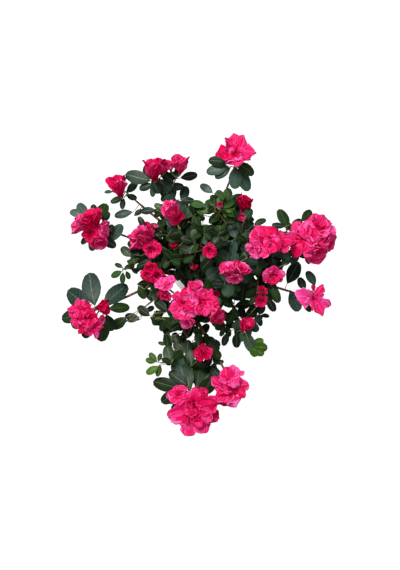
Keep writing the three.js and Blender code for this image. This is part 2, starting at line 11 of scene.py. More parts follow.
import bpy
import numpy as np
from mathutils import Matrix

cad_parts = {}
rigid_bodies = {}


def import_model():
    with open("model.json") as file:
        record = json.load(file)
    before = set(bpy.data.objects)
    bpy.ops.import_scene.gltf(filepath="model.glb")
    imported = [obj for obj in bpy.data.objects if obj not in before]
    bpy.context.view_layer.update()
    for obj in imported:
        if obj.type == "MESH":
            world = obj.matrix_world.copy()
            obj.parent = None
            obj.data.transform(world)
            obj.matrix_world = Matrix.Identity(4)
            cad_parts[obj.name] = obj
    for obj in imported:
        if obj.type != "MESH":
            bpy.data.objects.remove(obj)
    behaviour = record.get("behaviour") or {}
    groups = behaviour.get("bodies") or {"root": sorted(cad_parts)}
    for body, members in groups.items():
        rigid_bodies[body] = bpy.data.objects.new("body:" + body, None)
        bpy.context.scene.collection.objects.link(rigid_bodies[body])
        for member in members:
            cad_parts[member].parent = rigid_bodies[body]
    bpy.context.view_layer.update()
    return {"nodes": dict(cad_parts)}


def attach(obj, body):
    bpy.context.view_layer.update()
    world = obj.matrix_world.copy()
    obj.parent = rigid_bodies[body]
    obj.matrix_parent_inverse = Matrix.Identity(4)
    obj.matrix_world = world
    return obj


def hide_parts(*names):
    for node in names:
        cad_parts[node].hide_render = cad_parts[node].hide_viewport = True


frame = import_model()
FOLIAGE_NODES = sorted(name for name in frame["nodes"] if name.startswith("foliage_"))
BOUGH_NODES = sorted(name for name in frame["nodes"] if name.startswith("bough_"))

# %% [markdown]
# All sizes below are millimetres and degrees, as a gardener would measure them. A bearing is counted
# from +X towards +Y seen from above, and a tilt from upright. Chance is a seeded run of numbers, so
# the plant grows the same way each time.

# %% Directions and chance
UP = np.array([0.0, 0.0, 1.0])
EAST = np.array([1.0, 0.0, 0.0])
WORD = 0xFFFFFFFF
SEED = 1871


def unit(vector):
    """A vector scaled to length 1. Works on one vector or on rows of them."""
    return vector / np.linalg.norm(vector, axis=-1, keepdims=True)


def leaning(bearing, tilt):
    """The direction that leans tilt degrees from upright towards a bearing."""
    b, t = np.radians(bearing), np.radians(tilt)
    return np.array([np.sin(t) * np.cos(b), np.sin(t) * np.sin(b), np.cos(t)])


def square_to(direction):
    """Two directions square to a third; the first lies as near to east as it can."""
    first = unit(EAST - np.dot(EAST, direction) * direction)
    return first, np.cross(direction, first)


def blend(low, high, share):
    """The value that lies a share of the way from low to high."""
    return low + (high - low) * share


def chance_from(seed):
    """A function whose every call gives the next number of a seeded run, from 0 to 1."""
    state = seed & WORD

    def draw():
        nonlocal state
        state = (state + 0x6D2B79F5) & WORD
        mixed = ((state ^ (state >> 15)) * (state | 1)) & WORD
        mixed ^= (mixed + (mixed ^ (mixed >> 7)) * (mixed | 61)) & WORD
        return ((mixed ^ (mixed >> 14)) & WORD) / 2**32

    return draw


print("first draws of chance:", [round(draw(), 3) for draw in [chance_from(SEED)] * 3])

# %% [markdown]
# Limbs are cubic curves: each has a start, an end and two pull points between them. The plan repeats
# the frame's own plan, one row for a bough and the mass at its end. parent and fork say where it
# leaves, bearing, reach and height where its leading shoot ends, and tilt how far that leans. leaf is
# the length of its largest leaves, whorl how many stand round the tip, turn the bearing of the first,
# and sides and spread are the number and length of its side shoots. The looks add sprigs, the number
# of finer twigs along the bough, and tone, how young its leaves are, from 0 for old to 3 for fresh.
# The old tone's lighter grey-green is partly a painted sheen.

# %% The plan of the plant
OLD_SHEEN, DEEP, MID, FRESH = range(4)
PLAIN = dict(sides=0, spread=0, sprigs=10, tone=OLD_SHEEN)
PLAN = [
    dict(name="centre", parent="trunk", fork=1, bearing=275, reach=16, height=304, tilt=8, turn=200,
         leaf=29, whorl=7, sides=2, spread=32, sprigs=17),
    dict(name="west", parent="trunk", fork=0.86, bearing=170, reach=168, height=248, tilt=46, turn=40,
         leaf=36, whorl=7, sprigs=7),
    dict(name="south_west", parent="trunk", fork=0.74, bearing=209, reach=212, height=226, tilt=42,
         turn=260, leaf=52, whorl=8, sides=1, spread=26, sprigs=7),
    dict(name="south", parent="trunk", fork=0.92, bearing=266, reach=243, height=222, tilt=42, turn=205,
         leaf=46, whorl=10, sides=2, spread=27, sprigs=10),
    dict(name="east", parent="trunk", fork=0.96, bearing=3, reach=148, height=256, tilt=36, turn=130,
         leaf=36, whorl=8, sides=1, spread=30),
    dict(name="south_east", parent="trunk", fork=0.82, bearing=298, reach=132, height=222, tilt=32,
         turn=280, leaf=32, whorl=7, sides=2, spread=34),
    dict(name="north", parent="centre", fork=0.3, bearing=70, reach=128, height=283, tilt=38, turn=190,
         leaf=36, whorl=8, sprigs=5),
    dict(name="north_west", parent="centre", fork=0.18, bearing=126, reach=122, height=272, tilt=34,
         turn=40, leaf=38, whorl=9, sides=2, spread=26),
    dict(name="front", parent="centre", fork=0.1, bearing=259, reach=92, height=276, tilt=18, turn=175,
         leaf=30, whorl=7, sides=2, spread=36),
    dict(name="south_stem", parent="south", fork=0.34, bearing=257, reach=150, height=196, tilt=40,
         turn=320, leaf=32, whorl=7, sides=3, spread=38, tone=1),
    dict(name="south_west_twig", parent="south_west", fork=0.2, bearing=222, reach=134, height=196, tilt=46,
         turn=300, leaf=26, whorl=6, sides=2, spread=34, sprigs=5, tone=1),
    dict(name="crown_north", parent="north", fork=0.6, bearing=66, reach=50, height=284, tilt=12, turn=200,
         leaf=27, whorl=7, sides=1, spread=26, tone=2),
    dict(name="north_east", parent="north", fork=0.45, bearing=42, reach=76, height=248, tilt=20, turn=50,
         leaf=28, whorl=7, sides=1, spread=26),
    dict(name="inner_north", parent="north_west", fork=0.45, bearing=146, reach=62, height=284, tilt=18,
         turn=300, leaf=32, whorl=7, sides=1, spread=30),
    dict(name="west_north", parent="north_west", fork=0.3, bearing=146, reach=150, height=250, tilt=36,
         turn=230, leaf=26, whorl=7, sprigs=5),
    dict(name="inner_west", parent="west", fork=0.4, bearing=176, reach=84, height=256, tilt=26, turn=250,
         leaf=32, whorl=7, sides=2, spread=22),
    dict(name="west_twig", parent="south_west", fork=0.36, bearing=193, reach=134, height=214, tilt=46,
         turn=20, leaf=18, whorl=7, sides=1, spread=20, sprigs=5, tone=2),
    dict(name="inner_south_west", parent="south_west", fork=0.45, bearing=205, reach=92, height=252,
         tilt=22, turn=240, leaf=30, whorl=7, sides=1, spread=32),
    dict(name="inner_east", parent="centre", fork=0.55, bearing=308, reach=60, height=297, tilt=16, turn=30,
         leaf=29, whorl=7, sides=1, spread=32),
    dict(name="inner_north_east", parent="east", fork=0.35, bearing=14, reach=58, height=262, tilt=20,
         turn=80, leaf=30, whorl=7, sides=2, spread=32),
    dict(name="east_inner", parent="east", fork=0.5, bearing=356, reach=94, height=272, tilt=22, turn=10,
         leaf=32, whorl=7, sides=1, spread=32),
    dict(name="inner_south_east", parent="south_east", fork=0.4, bearing=333, reach=104, height=256,
         tilt=28, turn=250, leaf=29, whorl=7, sides=2, spread=34),
    dict(name="east_south", parent="inner_south_east", fork=0.55, bearing=334, reach=172, height=224,
         tilt=42, turn=190, leaf=32, whorl=7, sprigs=5),
    dict(name="inner_south", parent="south_east", fork=0.55, bearing=281, reach=106, height=240, tilt=24,
         turn=60, leaf=30, whorl=7, sides=1, spread=30),
    dict(name="heart_west", parent="centre", fork=0.4, bearing=184, reach=32, height=284, tilt=14, turn=120,
         leaf=27, whorl=7, sides=1, spread=26, sprigs=14),
    dict(name="heart_south", parent="south_east", fork=0.25, bearing=278, reach=70, height=256, tilt=16,
         turn=220, leaf=27, whorl=7, sides=1, spread=26, sprigs=14),
    dict(name="heart_north", parent="north", fork=0.3, bearing=104, reach=26, height=262, tilt=12, turn=170,
         leaf=27, whorl=7, sides=1, spread=26, sprigs=14),
    dict(name="south_side", parent="south", fork=0.6, bearing=279, reach=208, height=222, tilt=38, turn=85,
         leaf=34, whorl=6, sprigs=2),
]
PLAN = [{**PLAIN, **row} for row in PLAN]
print("plan:", len(PLAN), "boughs,", sum(row["sides"] for row in PLAN), "side shoots")

# %% Curves of the trunk and boughs
TRUNK_FOOT = np.array([3.0, 4.0, 99.3])
TRUNK_FORK = np.array([-17.0, -17.0, 156.0])
TRUNK_TIP_WAY = (225, 24)
TRUNK_BEND = 0.4
BOUGH_BEND = 0.36
BOUGH_START_TILT = 42
BOUGH_SHARE = 0.7
BOUGH_TRUNK_RADIUS = 3.6
BOUGH_FORK_RADIUS = 2.7
BOUGH_TIP_RADIUS = 1.8
TWIG_TIP_RADIUS = 0.9


def bent_curve(start, start_way, end, end_way, bend):
    """The four points of a cubic curve that leaves its start and reaches its end the given ways."""
    pull = np.linalg.norm(end - start) * bend
    return np.array([start, start + start_way * pull, end - end_way * pull, end])


def straight(start, end):
    """A straight line as a cubic curve, so that it is walked at an even pace."""
    return np.array([blend(start, end, share) for share in (0, 1 / 3, 2 / 3, 1)])


def point_on(curve, at):
    """Points of a cubic curve: its four points weighted by the Bernstein polynomials of at."""
    t = np.asarray(at, float)[..., None]
    a, b, c, d = curve
    return a * (1 - t) ** 3 + 3 * b * t * (1 - t) ** 2 + 3 * c * t**2 * (1 - t) + d * t**3


def tangent_on(curve, at):
    """The direction of a cubic curve: the derivative of point_on, made length 1."""
    t = np.asarray(at, float)[..., None]
    a, b, c, d = curve
    return unit(3 * (b - a) * (1 - t) ** 2 + 6 * (c - b) * t * (1 - t) + 3 * (d - c) * t**2)


def length_of(curve, first=0, last=1, stops=24):
    """The length of a curve between two shares of it, as the sum of short straight steps."""
    walk = point_on(curve, np.linspace(first, last, stops))
    return np.linalg.norm(np.diff(walk, axis=0), axis=1).sum()


limbs = {"trunk": bent_curve(TRUNK_FOOT, UP, TRUNK_FORK, leaning(*TRUNK_TIP_WAY), TRUNK_BEND)}
for row in PLAN:
    parent = limbs[row["parent"]]
    start = point_on(parent, row["fork"] * (1 if row["parent"] == "trunk" else BOUGH_SHARE))
    end = leaning(row["bearing"], 90) * row["reach"] + UP * row["height"]
    away = end - start
    heading = np.degrees(np.arctan2(away[1], away[0]))
    start_tilt = min(BOUGH_START_TILT, np.degrees(np.arctan2(np.hypot(away[0], away[1]), away[2])))
    limbs[row["name"]] = bent_curve(
        start, leaning(heading, start_tilt), end, leaning(row["bearing"], row["tilt"]), BOUGH_BEND)
print("limbs:", len(limbs), "longest", round(max(length_of(c) for c in limbs.values())), "mm")

# %% [markdown]
# The camera comes early, because the crown is open where the photo shows sky. It stands almost
# straight over the plant, 80 degrees up. A point of the crown is seen at a place in the photo's own
# frame of 400 by 570 pixels, and a finer twig or leaf that would be seen in one of the open places
# isn't grown.

# %% Camera
PHOTO_WIDTH, PHOTO_HEIGHT = 400, 570
CAMERA_ELEVATION = 80
CAMERA_DISTANCE = 1500
CAMERA_AIM = np.array([-10.0, -66.0, 270.0])
FOCAL_PIXELS = 1000
SENSOR_MM = 36
MM = 0.001

climb = np.radians(CAMERA_ELEVATION)
camera_back = np.array([0.0, -np.cos(climb), np.sin(climb)])
camera_up = np.array([0.0, np.sin(climb), np.cos(climb)])
camera_place = CAMERA_AIM + camera_back * CAMERA_DISTANCE

camera = bpy.data.objects.new("camera", bpy.data.cameras.new("camera"))
bpy.context.scene.collection.objects.link(camera)
camera.location = camera_place * MM
camera.rotation_euler = (np.radians(90) - climb, 0, 0)
camera.data.sensor_width = SENSOR_MM
camera.data.lens = FOCAL_PIXELS / PHOTO_HEIGHT * SENSOR_MM
camera.data.clip_end = 20  # metres
bpy.context.scene.camera = camera


def seen_at(points):
    """Where points are seen in the photo's frame: across and down, in pixels."""
    off = points - CAMERA_AIM
    depth = CAMERA_DISTANCE - off @ camera_back
    across = PHOTO_WIDTH / 2 + FOCAL_PIXELS * off[..., 0] / depth
    down = PHOTO_HEIGHT / 2 - FOCAL_PIXELS * (off @ camera_up) / depth
    return np.stack([across, down], -1)


print("the fork is seen at pixel", seen_at(TRUNK_FORK).round(1))

# %% Open places in the crown
# Each is the middle and the radius of a round patch of sky, in pixels of the photo.
SKY_PIXELS = np.array([
    (140, 292, 9), (132, 303, 7), (150, 303, 5), (131, 281, 6), (118, 293, 8), (110, 262, 5),
    (139, 195, 7), (146, 201, 5), (130, 203, 5), (122, 223, 5), (207, 215, 5), (196, 176, 6),
    (202, 164, 7), (200, 197, 3), (175, 195, 3), (289, 269, 6), (284, 280, 4), (276, 306, 8),
    (284, 330, 16), (266, 366, 12), (246, 362, 8), (161, 364, 2), (146, 335, 9), (142, 348, 12),
    (200, 329, 2), (203, 225, 2), (236, 302, 3), (246, 310, 3), (178, 288, 8),
    (216, 385, 5), (232, 355, 6), (264, 207, 9), (256, 190, 9), (272, 196, 12),
    (100, 262, 9), (191, 333, 2), (211, 330, 2), (166, 275, 5), (172, 293, 4),
])
CORE_PIXELS = (212, 262)
CORE_REACH_PIXELS = (76, 78)


def under_sky(points, margin=0.0):
    """True for each point that is seen within one of the open places."""
    seen = seen_at(points)[..., None, :]
    far = np.linalg.norm(seen - SKY_PIXELS[:, :2], axis=-1)
    return (far < SKY_PIXELS[:, 2] + margin).any(axis=-1)


def in_core(points):
    """True for each point that is seen within the oval of dense leaf round the crown's middle."""
    share = (seen_at(points) - np.array(CORE_PIXELS)) / np.array(CORE_REACH_PIXELS)
    return (share**2).sum(axis=-1) < 1


def place_of(across, down, height):
    """The point at a given height that is seen at a place in the photo's frame."""
    ray = EAST * (across - PHOTO_WIDTH / 2) + camera_up * (PHOTO_HEIGHT / 2 - down)
    ray = ray - camera_back * FOCAL_PIXELS
    return camera_place + ray * (height - camera_place[2]) / ray[2]


print("open places:", len(SKY_PIXELS))

# %% [markdown]
# The mesh helper. A skin is a closed form made of rings of points from a foot to a tip, where both
# ends close on a single point. A tube, a leaf and a petal are all skins: a leaf's rings are just very
# flat. Many skins of one kind are made at once, as one array of rings, and become one mesh.

# %% Skins as meshes


def skin_mesh(name, rings, feet, tips, materials, zones=None, uv=None, rims=()):
    """One mesh from n closed skins. rings is (n, k, r, 3) in millimetres, each ring turning
    right-handed round the way from foot to tip. feet and tips are (n, 3). zones gives each face's
    material number, (n, k + 1, r), from the foot's fan to the tip's. uv is (n, k, r, 2). rims are
    the places in a ring where a flat skin's edge runs, which stays sharp."""
    n, k, r, _ = rings.shape
    points = np.concatenate([rings.reshape(n, k * r, 3), feet[:, None], tips[:, None]], 1)
    step = np.arange(k)[:, None] * r
    here = step + np.arange(r)
    there = step + np.roll(np.arange(r), -1)
    fan_foot = np.stack([np.full(r, k * r), there[0], here[0]], -1)
    fan_tip = np.stack([np.full(r, k * r + 1), here[-1], there[-1]], -1)
    quads = np.stack([here[:-1], there[:-1], there[1:], here[1:]], -1).reshape(-1, 4)
    corners = np.concatenate([fan_foot.ravel(), quads.ravel(), fan_tip.ravel()])
    sizes = np.concatenate([np.full(r, 3), np.full(len(quads), 4), np.full(r, 3)])
    shift = np.arange(n)[:, None] * points.shape[1]
    all_corners = (corners + shift).ravel()
    all_sizes = np.tile(sizes, n)
    mesh = bpy.data.meshes.new(name)
    mesh.vertices.add(n * points.shape[1])
    mesh.vertices.foreach_set("co", (points * MM).astype(np.float32).ravel())
    mesh.loops.add(len(all_corners))
    mesh.loops.foreach_set("vertex_index", all_corners.astype(np.int32))
    mesh.polygons.add(len(all_sizes))
    starts = np.concatenate([[0], np.cumsum(all_sizes)[:-1]])
    mesh.polygons.foreach_set("loop_start", starts.astype(np.int32))
    for material in materials:
        mesh.materials.append(material)
    if zones is not None:
        mesh.polygons.foreach_set("material_index", zones.reshape(-1).astype(np.int32))
    if uv is not None:
        flat = np.concatenate([uv.reshape(n, k * r, 2), uv[:, 0, :1], uv[:, -1, :1]], 1)
        layer = mesh.uv_layers.new(name="Surface")
        layer.uv.foreach_set("vector", flat.reshape(-1, 2)[all_corners].astype(np.float32).ravel())
    mesh.update(calc_edges=True)
    mesh.polygons.foreach_set("use_smooth", np.ones(len(all_sizes), bool))
    if rims:
        ends = np.empty(len(mesh.edges) * 2, np.int32)
        mesh.edges.foreach_get("vertices", ends)
        ends = ends.reshape(-1, 2) % points.shape[1]
        on_rim = (ends >= k * r) | np.isin(ends % r, rims)
        sharp = mesh.attributes.new("sharp_edge", "BOOLEAN", "EDGE")
        sharp.data.foreach_set("value", on_rim.all(axis=1))
    return mesh


def triangles_of(mesh):
    return len(mesh.loops) - 2 * len(mesh.polygons)


def add_piece(mesh, slot, *nodes):
    """Shows a mesh as a piece that rides on the plant and stands for these nodes of the frame."""
    piece = bpy.data.objects.new(mesh.name, mesh)
    bpy.context.scene.collection.objects.link(piece)
    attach(piece, "root")
    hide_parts(*nodes)
    print(f"{piece.name}: {triangles_of(mesh)} triangles")
    return piece


def carried_frames(ways):
    """Two directions square to each of a run of tangents, carried along without turning about it."""
    first = np.empty_like(ways)
    first[0] = square_to(ways[0])[0]
    for i in range(1, len(ways)):
        first[i] = unit(first[i - 1] - np.dot(first[i - 1], ways[i]) * ways[i])
    return first, np.cross(ways, first)


print("two directions square to up:", *(way.round(2).tolist() for way in square_to(UP)))

# %% [markdown]
# The finishes share four node groups. Mottle mixes two colours by a soft noise, for the uneven colour
# that no living surface is without. Fine relief turns a small noise into a bump. Petal streaks and
# highlights draws fine lighter lines that follow the petal through its own UV map, partly its veins
# and partly painted light on its fine creases, and a painted highlight at its rim. Leaf veins and rim
# highlight draws lighter veins that follow the leaf through its own UV map, and a painted highlight at
# its rim. Colours that have a place on the plant, such as a fresh tip, a midrib or a petal's throat,
# are materials of their own, dealt out to faces, so they stay where they belong whatever the mesh is
# used for. A few short helpers come first, so that a group reads like the formula it stands for.

# %% Helpers for nodes


def plug(tree, socket, value):
    """Gives an input a plain value, or links it to an output."""
    if isinstance(value, bpy.types.NodeSocket):
        tree.links.new(value, socket)
    else:
        socket.default_value = value


def feed(tree, node, **inputs):
    """Plugs a node's inputs by name. An underline in a name stands for a space."""
    for label, value in inputs.items():
        plug(tree, node.inputs[label.replace("_", " ")], value)
    return node


def add_node(tree, kind, **inputs):
    """A new node of a kind, with its inputs plugged by name."""
    return feed(tree, tree.nodes.new("ShaderNode" + kind), **inputs)


def add_group(tree, group, **inputs):
    """Places a group in a tree and gives its outputs."""
    placed = add_node(tree, "Group")
    placed.node_tree = group
    return feed(tree, placed, **inputs).outputs


def soft_noise(tree, place, grain, detail):
    """A noise from 0 to 1 with so many grains to a unit of length."""
    return add_node(tree, "TexNoise", Vector=place, Scale=grain, Detail=detail).outputs["Fac"]


def ramp(tree, value, low, high, to_low, to_high):
    """A straight run from one value to another between two inputs, held level outside them."""
    node = add_node(tree, "MapRange", Value=value, From_Min=low, From_Max=high, To_Min=to_low, To_Max=to_high)
    return node.outputs["Result"]


def combine(tree, operation, first, second):
    """One step of arithmetic on two values, each an output or a number."""
    node = add_node(tree, "Math")
    node.operation = operation
    plug(tree, node.inputs[0], first)
    plug(tree, node.inputs[1], second)
    return node.outputs["Value"]


def mixed(tree, share, first, second):
    """Two colours mixed by a share."""
    node = add_node(tree, "Mix")
    node.data_type = "RGBA"
    return feed(tree, node, Factor=share, A=first, B=second).outputs["Result"]


def new_group(name, inputs, outputs):
    """An empty shader node group. inputs gives each one's usual number or colour, outputs each one's
    kind. Returns the group, what its start node gives out, and its end node."""
    group = bpy.data.node_groups.new(name, "ShaderNodeTree")
    for label, value in inputs.items():
        kind = "NodeSocketFloat" if isinstance(value, float) else "NodeSocketColor"
        group.interface.new_socket(name=label, in_out="INPUT", socket_type=kind).default_value = value
    for label, kind in outputs.items():
        group.interface.new_socket(name=label, in_out="OUTPUT", socket_type="NodeSocket" + kind)
    return group, group.nodes.new("NodeGroupInput").outputs, group.nodes.new("NodeGroupOutput")


print("materials before the first finish:", len(bpy.data.materials))

# %% Node groups
BLACK = (0, 0, 0, 1)
WHITE = (1, 1, 1, 1)
MOTTLE_EDGES = (0.35, 0.65)
MOTTLE_DETAIL = 3
RELIEF_DETAIL = 4
STREAKS_ACROSS = 9
STREAKS_ALONG = 0.7
STREAKS_MOST = 0.5
# The most of the painted highlight at a petal's rim and tip.
PETAL_RIM_HIGHLIGHT_MOST = 0.24
VEINS_ALONG = 7
VEIN_SLANT = 1.7
VEINS_MOST = 0.5
# The most of the painted highlight at a leaf's rim.
LEAF_RIM_HIGHLIGHT_MOST = 0.4


def build_mottle():
    """Colour = First mixed with Second by a noise of the given grain, in grains a metre."""
    group, start, end = new_group("Mottle", dict(First=BLACK, Second=WHITE, Grain=100.0),
                                  dict(Colour="Color", Mask="Float"))
    place = add_node(group, "TexCoord").outputs["Object"]
    mask = ramp(group, soft_noise(group, place, start["Grain"], MOTTLE_DETAIL), *MOTTLE_EDGES, 0, 1)
    feed(group, end, Colour=mixed(group, mask, start["First"], start["Second"]), Mask=mask)
    return group


def build_relief():
    """Normal = the surface's own, tipped by a noise of the given grain and height in metres."""
    group, start, end = new_group("Fine relief", dict(Grain=400.0, Height=0.0003, Strength=0.4),
                                  dict(Normal="Vector"))
    place = add_node(group, "TexCoord").outputs["Object"]
    bumps = soft_noise(group, place, start["Grain"], RELIEF_DETAIL)
    bump = add_node(group, "Bump", Height=bumps, Distance=start["Height"], Strength=start["Strength"])
    feed(group, end, Normal=bump.outputs["Normal"])
    return group


def across_and_along(group):
    """Nodes that give the place on a petal or leaf: the place itself, across it as 0 at the middle
    line to 1 at the rim, and along it as 0 at the root to 1 at the tip. Every skin's U starts at a
    whole number of its own, so a pattern that follows U itself differs from skin to skin."""
    uv_map = add_node(group, "UVMap")
    uv_map.uv_map = "Surface"
    place = uv_map.outputs["UV"]
    parts = add_node(group, "SeparateXYZ", Vector=place).outputs
    across = parts["X"]
    for operation, amount in (("FRACT", 0), ("SUBTRACT", 0.5), ("ABSOLUTE", 0), ("MULTIPLY", 2)):
        across = combine(group, operation, across, amount)
    return place, across, parts["Y"]


def build_streaks_and_highlights():
    """A petal's colour: lighter in fine lines that run from root to tip, which are partly veins and partly
    painted light on its creases, and towards its rim, a painted highlight.
    """
    group, start, end = new_group("Petal streaks and highlights", dict(Colour=BLACK, Light=WHITE), dict(Colour="Color"))
    place, across, along = across_and_along(group)
    stretch = add_node(group, "VectorMath")
    stretch.operation = "MULTIPLY"
    plug(group, stretch.inputs[0], place)
    plug(group, stretch.inputs[1], (STREAKS_ACROSS, STREAKS_ALONG, 1))
    noise = soft_noise(group, stretch.outputs["Vector"], 1, 2)
    # The lines are partly veins and partly painted light on the petal's fine creases.
    lines = combine(group, "MULTIPLY", ramp(group, noise, 0.47, 0.6, 0, STREAKS_MOST),
                    ramp(group, along, 0.2, 0.6, 0, 1))
    # The lighter rim and tip are a painted highlight.
    rim = combine(group, "MAXIMUM", ramp(group, across, 0.7, 1, 0, PETAL_RIM_HIGHLIGHT_MOST),
                  ramp(group, along, 0.74, 1, 0, PETAL_RIM_HIGHLIGHT_MOST))
    share = combine(group, "ADD", lines, rim)
    feed(group, end, Colour=mixed(group, share, start["Colour"], start["Light"]))
    return group


def build_veins_and_rim_highlight():
    """A leaf's colour: lighter in veins that slant from the midrib towards the tip, and at its rim, a painted
    highlight.
    """
    group, start, end = new_group("Leaf veins and rim highlight", dict(Colour=BLACK, Light=WHITE), dict(Colour="Color"))
    _, across, along = across_and_along(group)
    slant = combine(group, "SUBTRACT", combine(group, "MULTIPLY", along, VEINS_ALONG),
                    combine(group, "MULTIPLY", across, VEIN_SLANT))
    wave = combine(group, "PINGPONG", slant, 0.5)
    veins = combine(group, "MULTIPLY", ramp(group, wave, 0, 0.16, VEINS_MOST, 0),
                    ramp(group, across, 0.6, 1, 1, 0))
    # The lighter rim is a painted highlight.
    share = combine(group, "ADD", veins, ramp(group, across, 0.86, 1, 0, LEAF_RIM_HIGHLIGHT_MOST))
    feed(group, end, Colour=mixed(group, share, start["Colour"], start["Light"]))
    return group


MOTTLE = build_mottle()
RELIEF = build_relief()
STREAKS_AND_HIGHLIGHTS = build_streaks_and_highlights()
VEINS_AND_RIM_HIGHLIGHT = build_veins_and_rim_highlight()
print("node groups:", ", ".join(group.name for group in (MOTTLE, RELIEF, STREAKS_AND_HIGHLIGHTS, VEINS_AND_RIM_HIGHLIGHT)))

# %% Finishes
ROUGH_SPREAD = 0.15


def from_screen(red, green, blue):
    """A colour as a screen shows it, 0 to 255, turned into the linear colour that a shader wants."""
    share = np.array([red, green, blue]) / 255
    linear = np.where(share <= 0.04045, share / 12.92, ((share + 0.055) / 1.055) ** 2.4)
    return (*linear.tolist(), 1.0)


def finish(name, first, second, rough, grain=120.0, relief=(400.0, 0.0003, 0.4), lines=None, **shader):
    """A material: two colours mottled, a roughness that varies a little, a fine relief, and any
    other number of the shader set on its own socket. relief is grains a metre, height in metres and
    strength. lines is a group that draws streaks or veins with a painted rim highlight, and their colour."""
    material = bpy.data.materials.new(name)
    material.use_nodes = True
    tree = material.node_tree
    mottle = add_group(tree, MOTTLE, First=from_screen(*first), Second=from_screen(*second), Grain=grain)
    colour = mottle["Colour"]
    if lines:
        colour = add_group(tree, lines[0], Colour=colour, Light=from_screen(*lines[1]))["Colour"]
    varied = ramp(tree, mottle["Mask"], 0, 1, rough * (1 - ROUGH_SPREAD), min(1, rough * (1 + ROUGH_SPREAD)))
    bumps = add_group(tree, RELIEF, **dict(zip(("Grain", "Height", "Strength"), relief)))
    feed(tree, tree.nodes["Principled BSDF"], Base_Color=colour, Roughness=varied, Normal=bumps["Normal"],
         **shader)
    return material


print("a middle grey of the screen is", round(from_screen(128, 128, 128)[0], 3), "in linear light")

# %% [markdown]
# The pot is thrown and glazed: one profile turned round the upright axis. It repeats the frame's own,
# from its flat foot up the wall, over the rolled rim and down inside to the floor, and each corner is
# rounded by a short arc. The glaze is a hard clear coat over a white body. Its faint glow is painted
# light, which lifts the crown's shade off the pot so that its rim stays white.

# %% Pot
POT_HEIGHT = 112
POT_FLAT_RADIUS = 43
POT_FOOT_RADIUS = 47
POT_BODY_RADIUS = 57
POT_RIM_RADIUS = 61
POT_RIM_HEIGHT = 15
POT_RIM_STEP = 1.5
POT_WALL = 5
POT_FLOOR = 7
POT_FLOOR_MIDDLE = 8
POT_ROUND = 3
POT_AROUND = 128
POT_WHITE = (250, 249, 247)
# The glaze's glow: painted light that lifts the crown's shade off the pot.
POT_PAINTED_GLOW = 0.38


def rounded(corners, radius, steps=6, most=0.45):
    """A profile whose corners are replaced by short arcs: each corner is cut back by radius on
    both sides, or by most of that side where it is short, and a quadratic curve joins the cuts."""
    line = [corners[0]]
    for before, corner, after in zip(corners, corners[1:], corners[2:]):
        start, end = (corner + unit(side - corner) * min(radius, np.linalg.norm(side - corner) * most)
                      for side in (before, after))
        t = np.linspace(0, 1, steps)[:, None]
        line.extend(start * (1 - t) ** 2 + 2 * corner * t * (1 - t) + end * t**2)
    return np.array([*line, corners[-1]])


def turned(profile, around):
    """Rings of a profile of (radius, height) turned round the upright axis."""
    angle = -np.linspace(0, 2 * np.pi, around, endpoint=False)
    radius, height = profile[:, 0, None], profile[:, 1, None]
    rings = [radius * np.cos(angle), radius * np.sin(angle), height + 0 * angle]
    return np.stack(rings, -1)


# The glaze glows faintly: painted light against the crown's shade on the pot.
glaze = finish("glaze", POT_WHITE, (244, 243, 241), 0.22, grain=14.0, relief=(60.0, 0.0004, 0.12),
               Coat_Weight=0.6, Coat_Roughness=0.08, Emission_Color=from_screen(*POT_WHITE),
               Emission_Strength=POT_PAINTED_GLOW)
rim_foot = POT_HEIGHT - POT_RIM_HEIGHT
corners = np.array([
    (POT_FLAT_RADIUS, 0), (POT_FOOT_RADIUS, 0), (POT_BODY_RADIUS, rim_foot),
    (POT_RIM_RADIUS, rim_foot + POT_RIM_STEP), (POT_RIM_RADIUS, POT_HEIGHT),
    (POT_RIM_RADIUS - POT_WALL - POT_ROUND, POT_HEIGHT), (POT_FOOT_RADIUS - POT_WALL, POT_FLOOR),
    (POT_FLOOR_MIDDLE, POT_FLOOR)], float)
pot_rings = turned(rounded(corners, POT_ROUND), POT_AROUND)
pot_mesh = skin_mesh("pot_glazed", pot_rings[None], UP[None] * 0, UP[None] * POT_FLOOR, [glaze])
add_piece(pot_mesh, "pot", "pot")

# %% [markdown]
# The soil is a moist peat mix: a lumpy top with crumbs of many sizes on it. The top is one skin whose
# height is a sum of waves, and the crumbs are small rough skins strewn by chance, each a ball whose
# radius varies with direction.

# %% Soil
SOIL_LEVEL = 97
SOIL_FOOT = POT_FLOOR + 0.5
SOIL_RADIUS = 51.5
LUMP_HEIGHT = 0.6
MOUND_HEIGHT = 2.4
MOUND_SPREAD = 700
CRUMBS = 900
CRUMBS_WITHIN = 0.97
CRUMB_SMALLEST = 0.5
CRUMB_SPREAD = 1.6
CRUMB_POLE = 0.8
soil_chance = np.random.default_rng(41)


def lumps(x, y):
    """The height of the soil over its level: three crossed waves and a mound at the middle."""
    wave = np.sin(0.31 * x + 1.3) * np.cos(0.27 * y) + 0.6 * np.sin(0.9 * x + 0.5 * y) + 0.4 * np.cos(1.3 * y)
    return LUMP_HEIGHT * wave + MOUND_HEIGHT * np.exp(-(x**2 + y**2) / MOUND_SPREAD)


def soil_rings(around=96, inwards=40):
    """Rings from the pot's floor up the wall and in over the lumpy top."""
    low = np.array([(POT_FOOT_RADIUS - POT_WALL - 1, SOIL_FOOT), (SOIL_RADIUS, SOIL_LEVEL - 2)])
    top = np.stack([np.linspace(SOIL_RADIUS, 1, inwards), np.full(inwards, SOIL_LEVEL)], -1)
    rings = turned(np.concatenate([low, top]), around)
    rings[2:, :, 2] += lumps(rings[2:, :, 0], rings[2:, :, 1])
    return rings


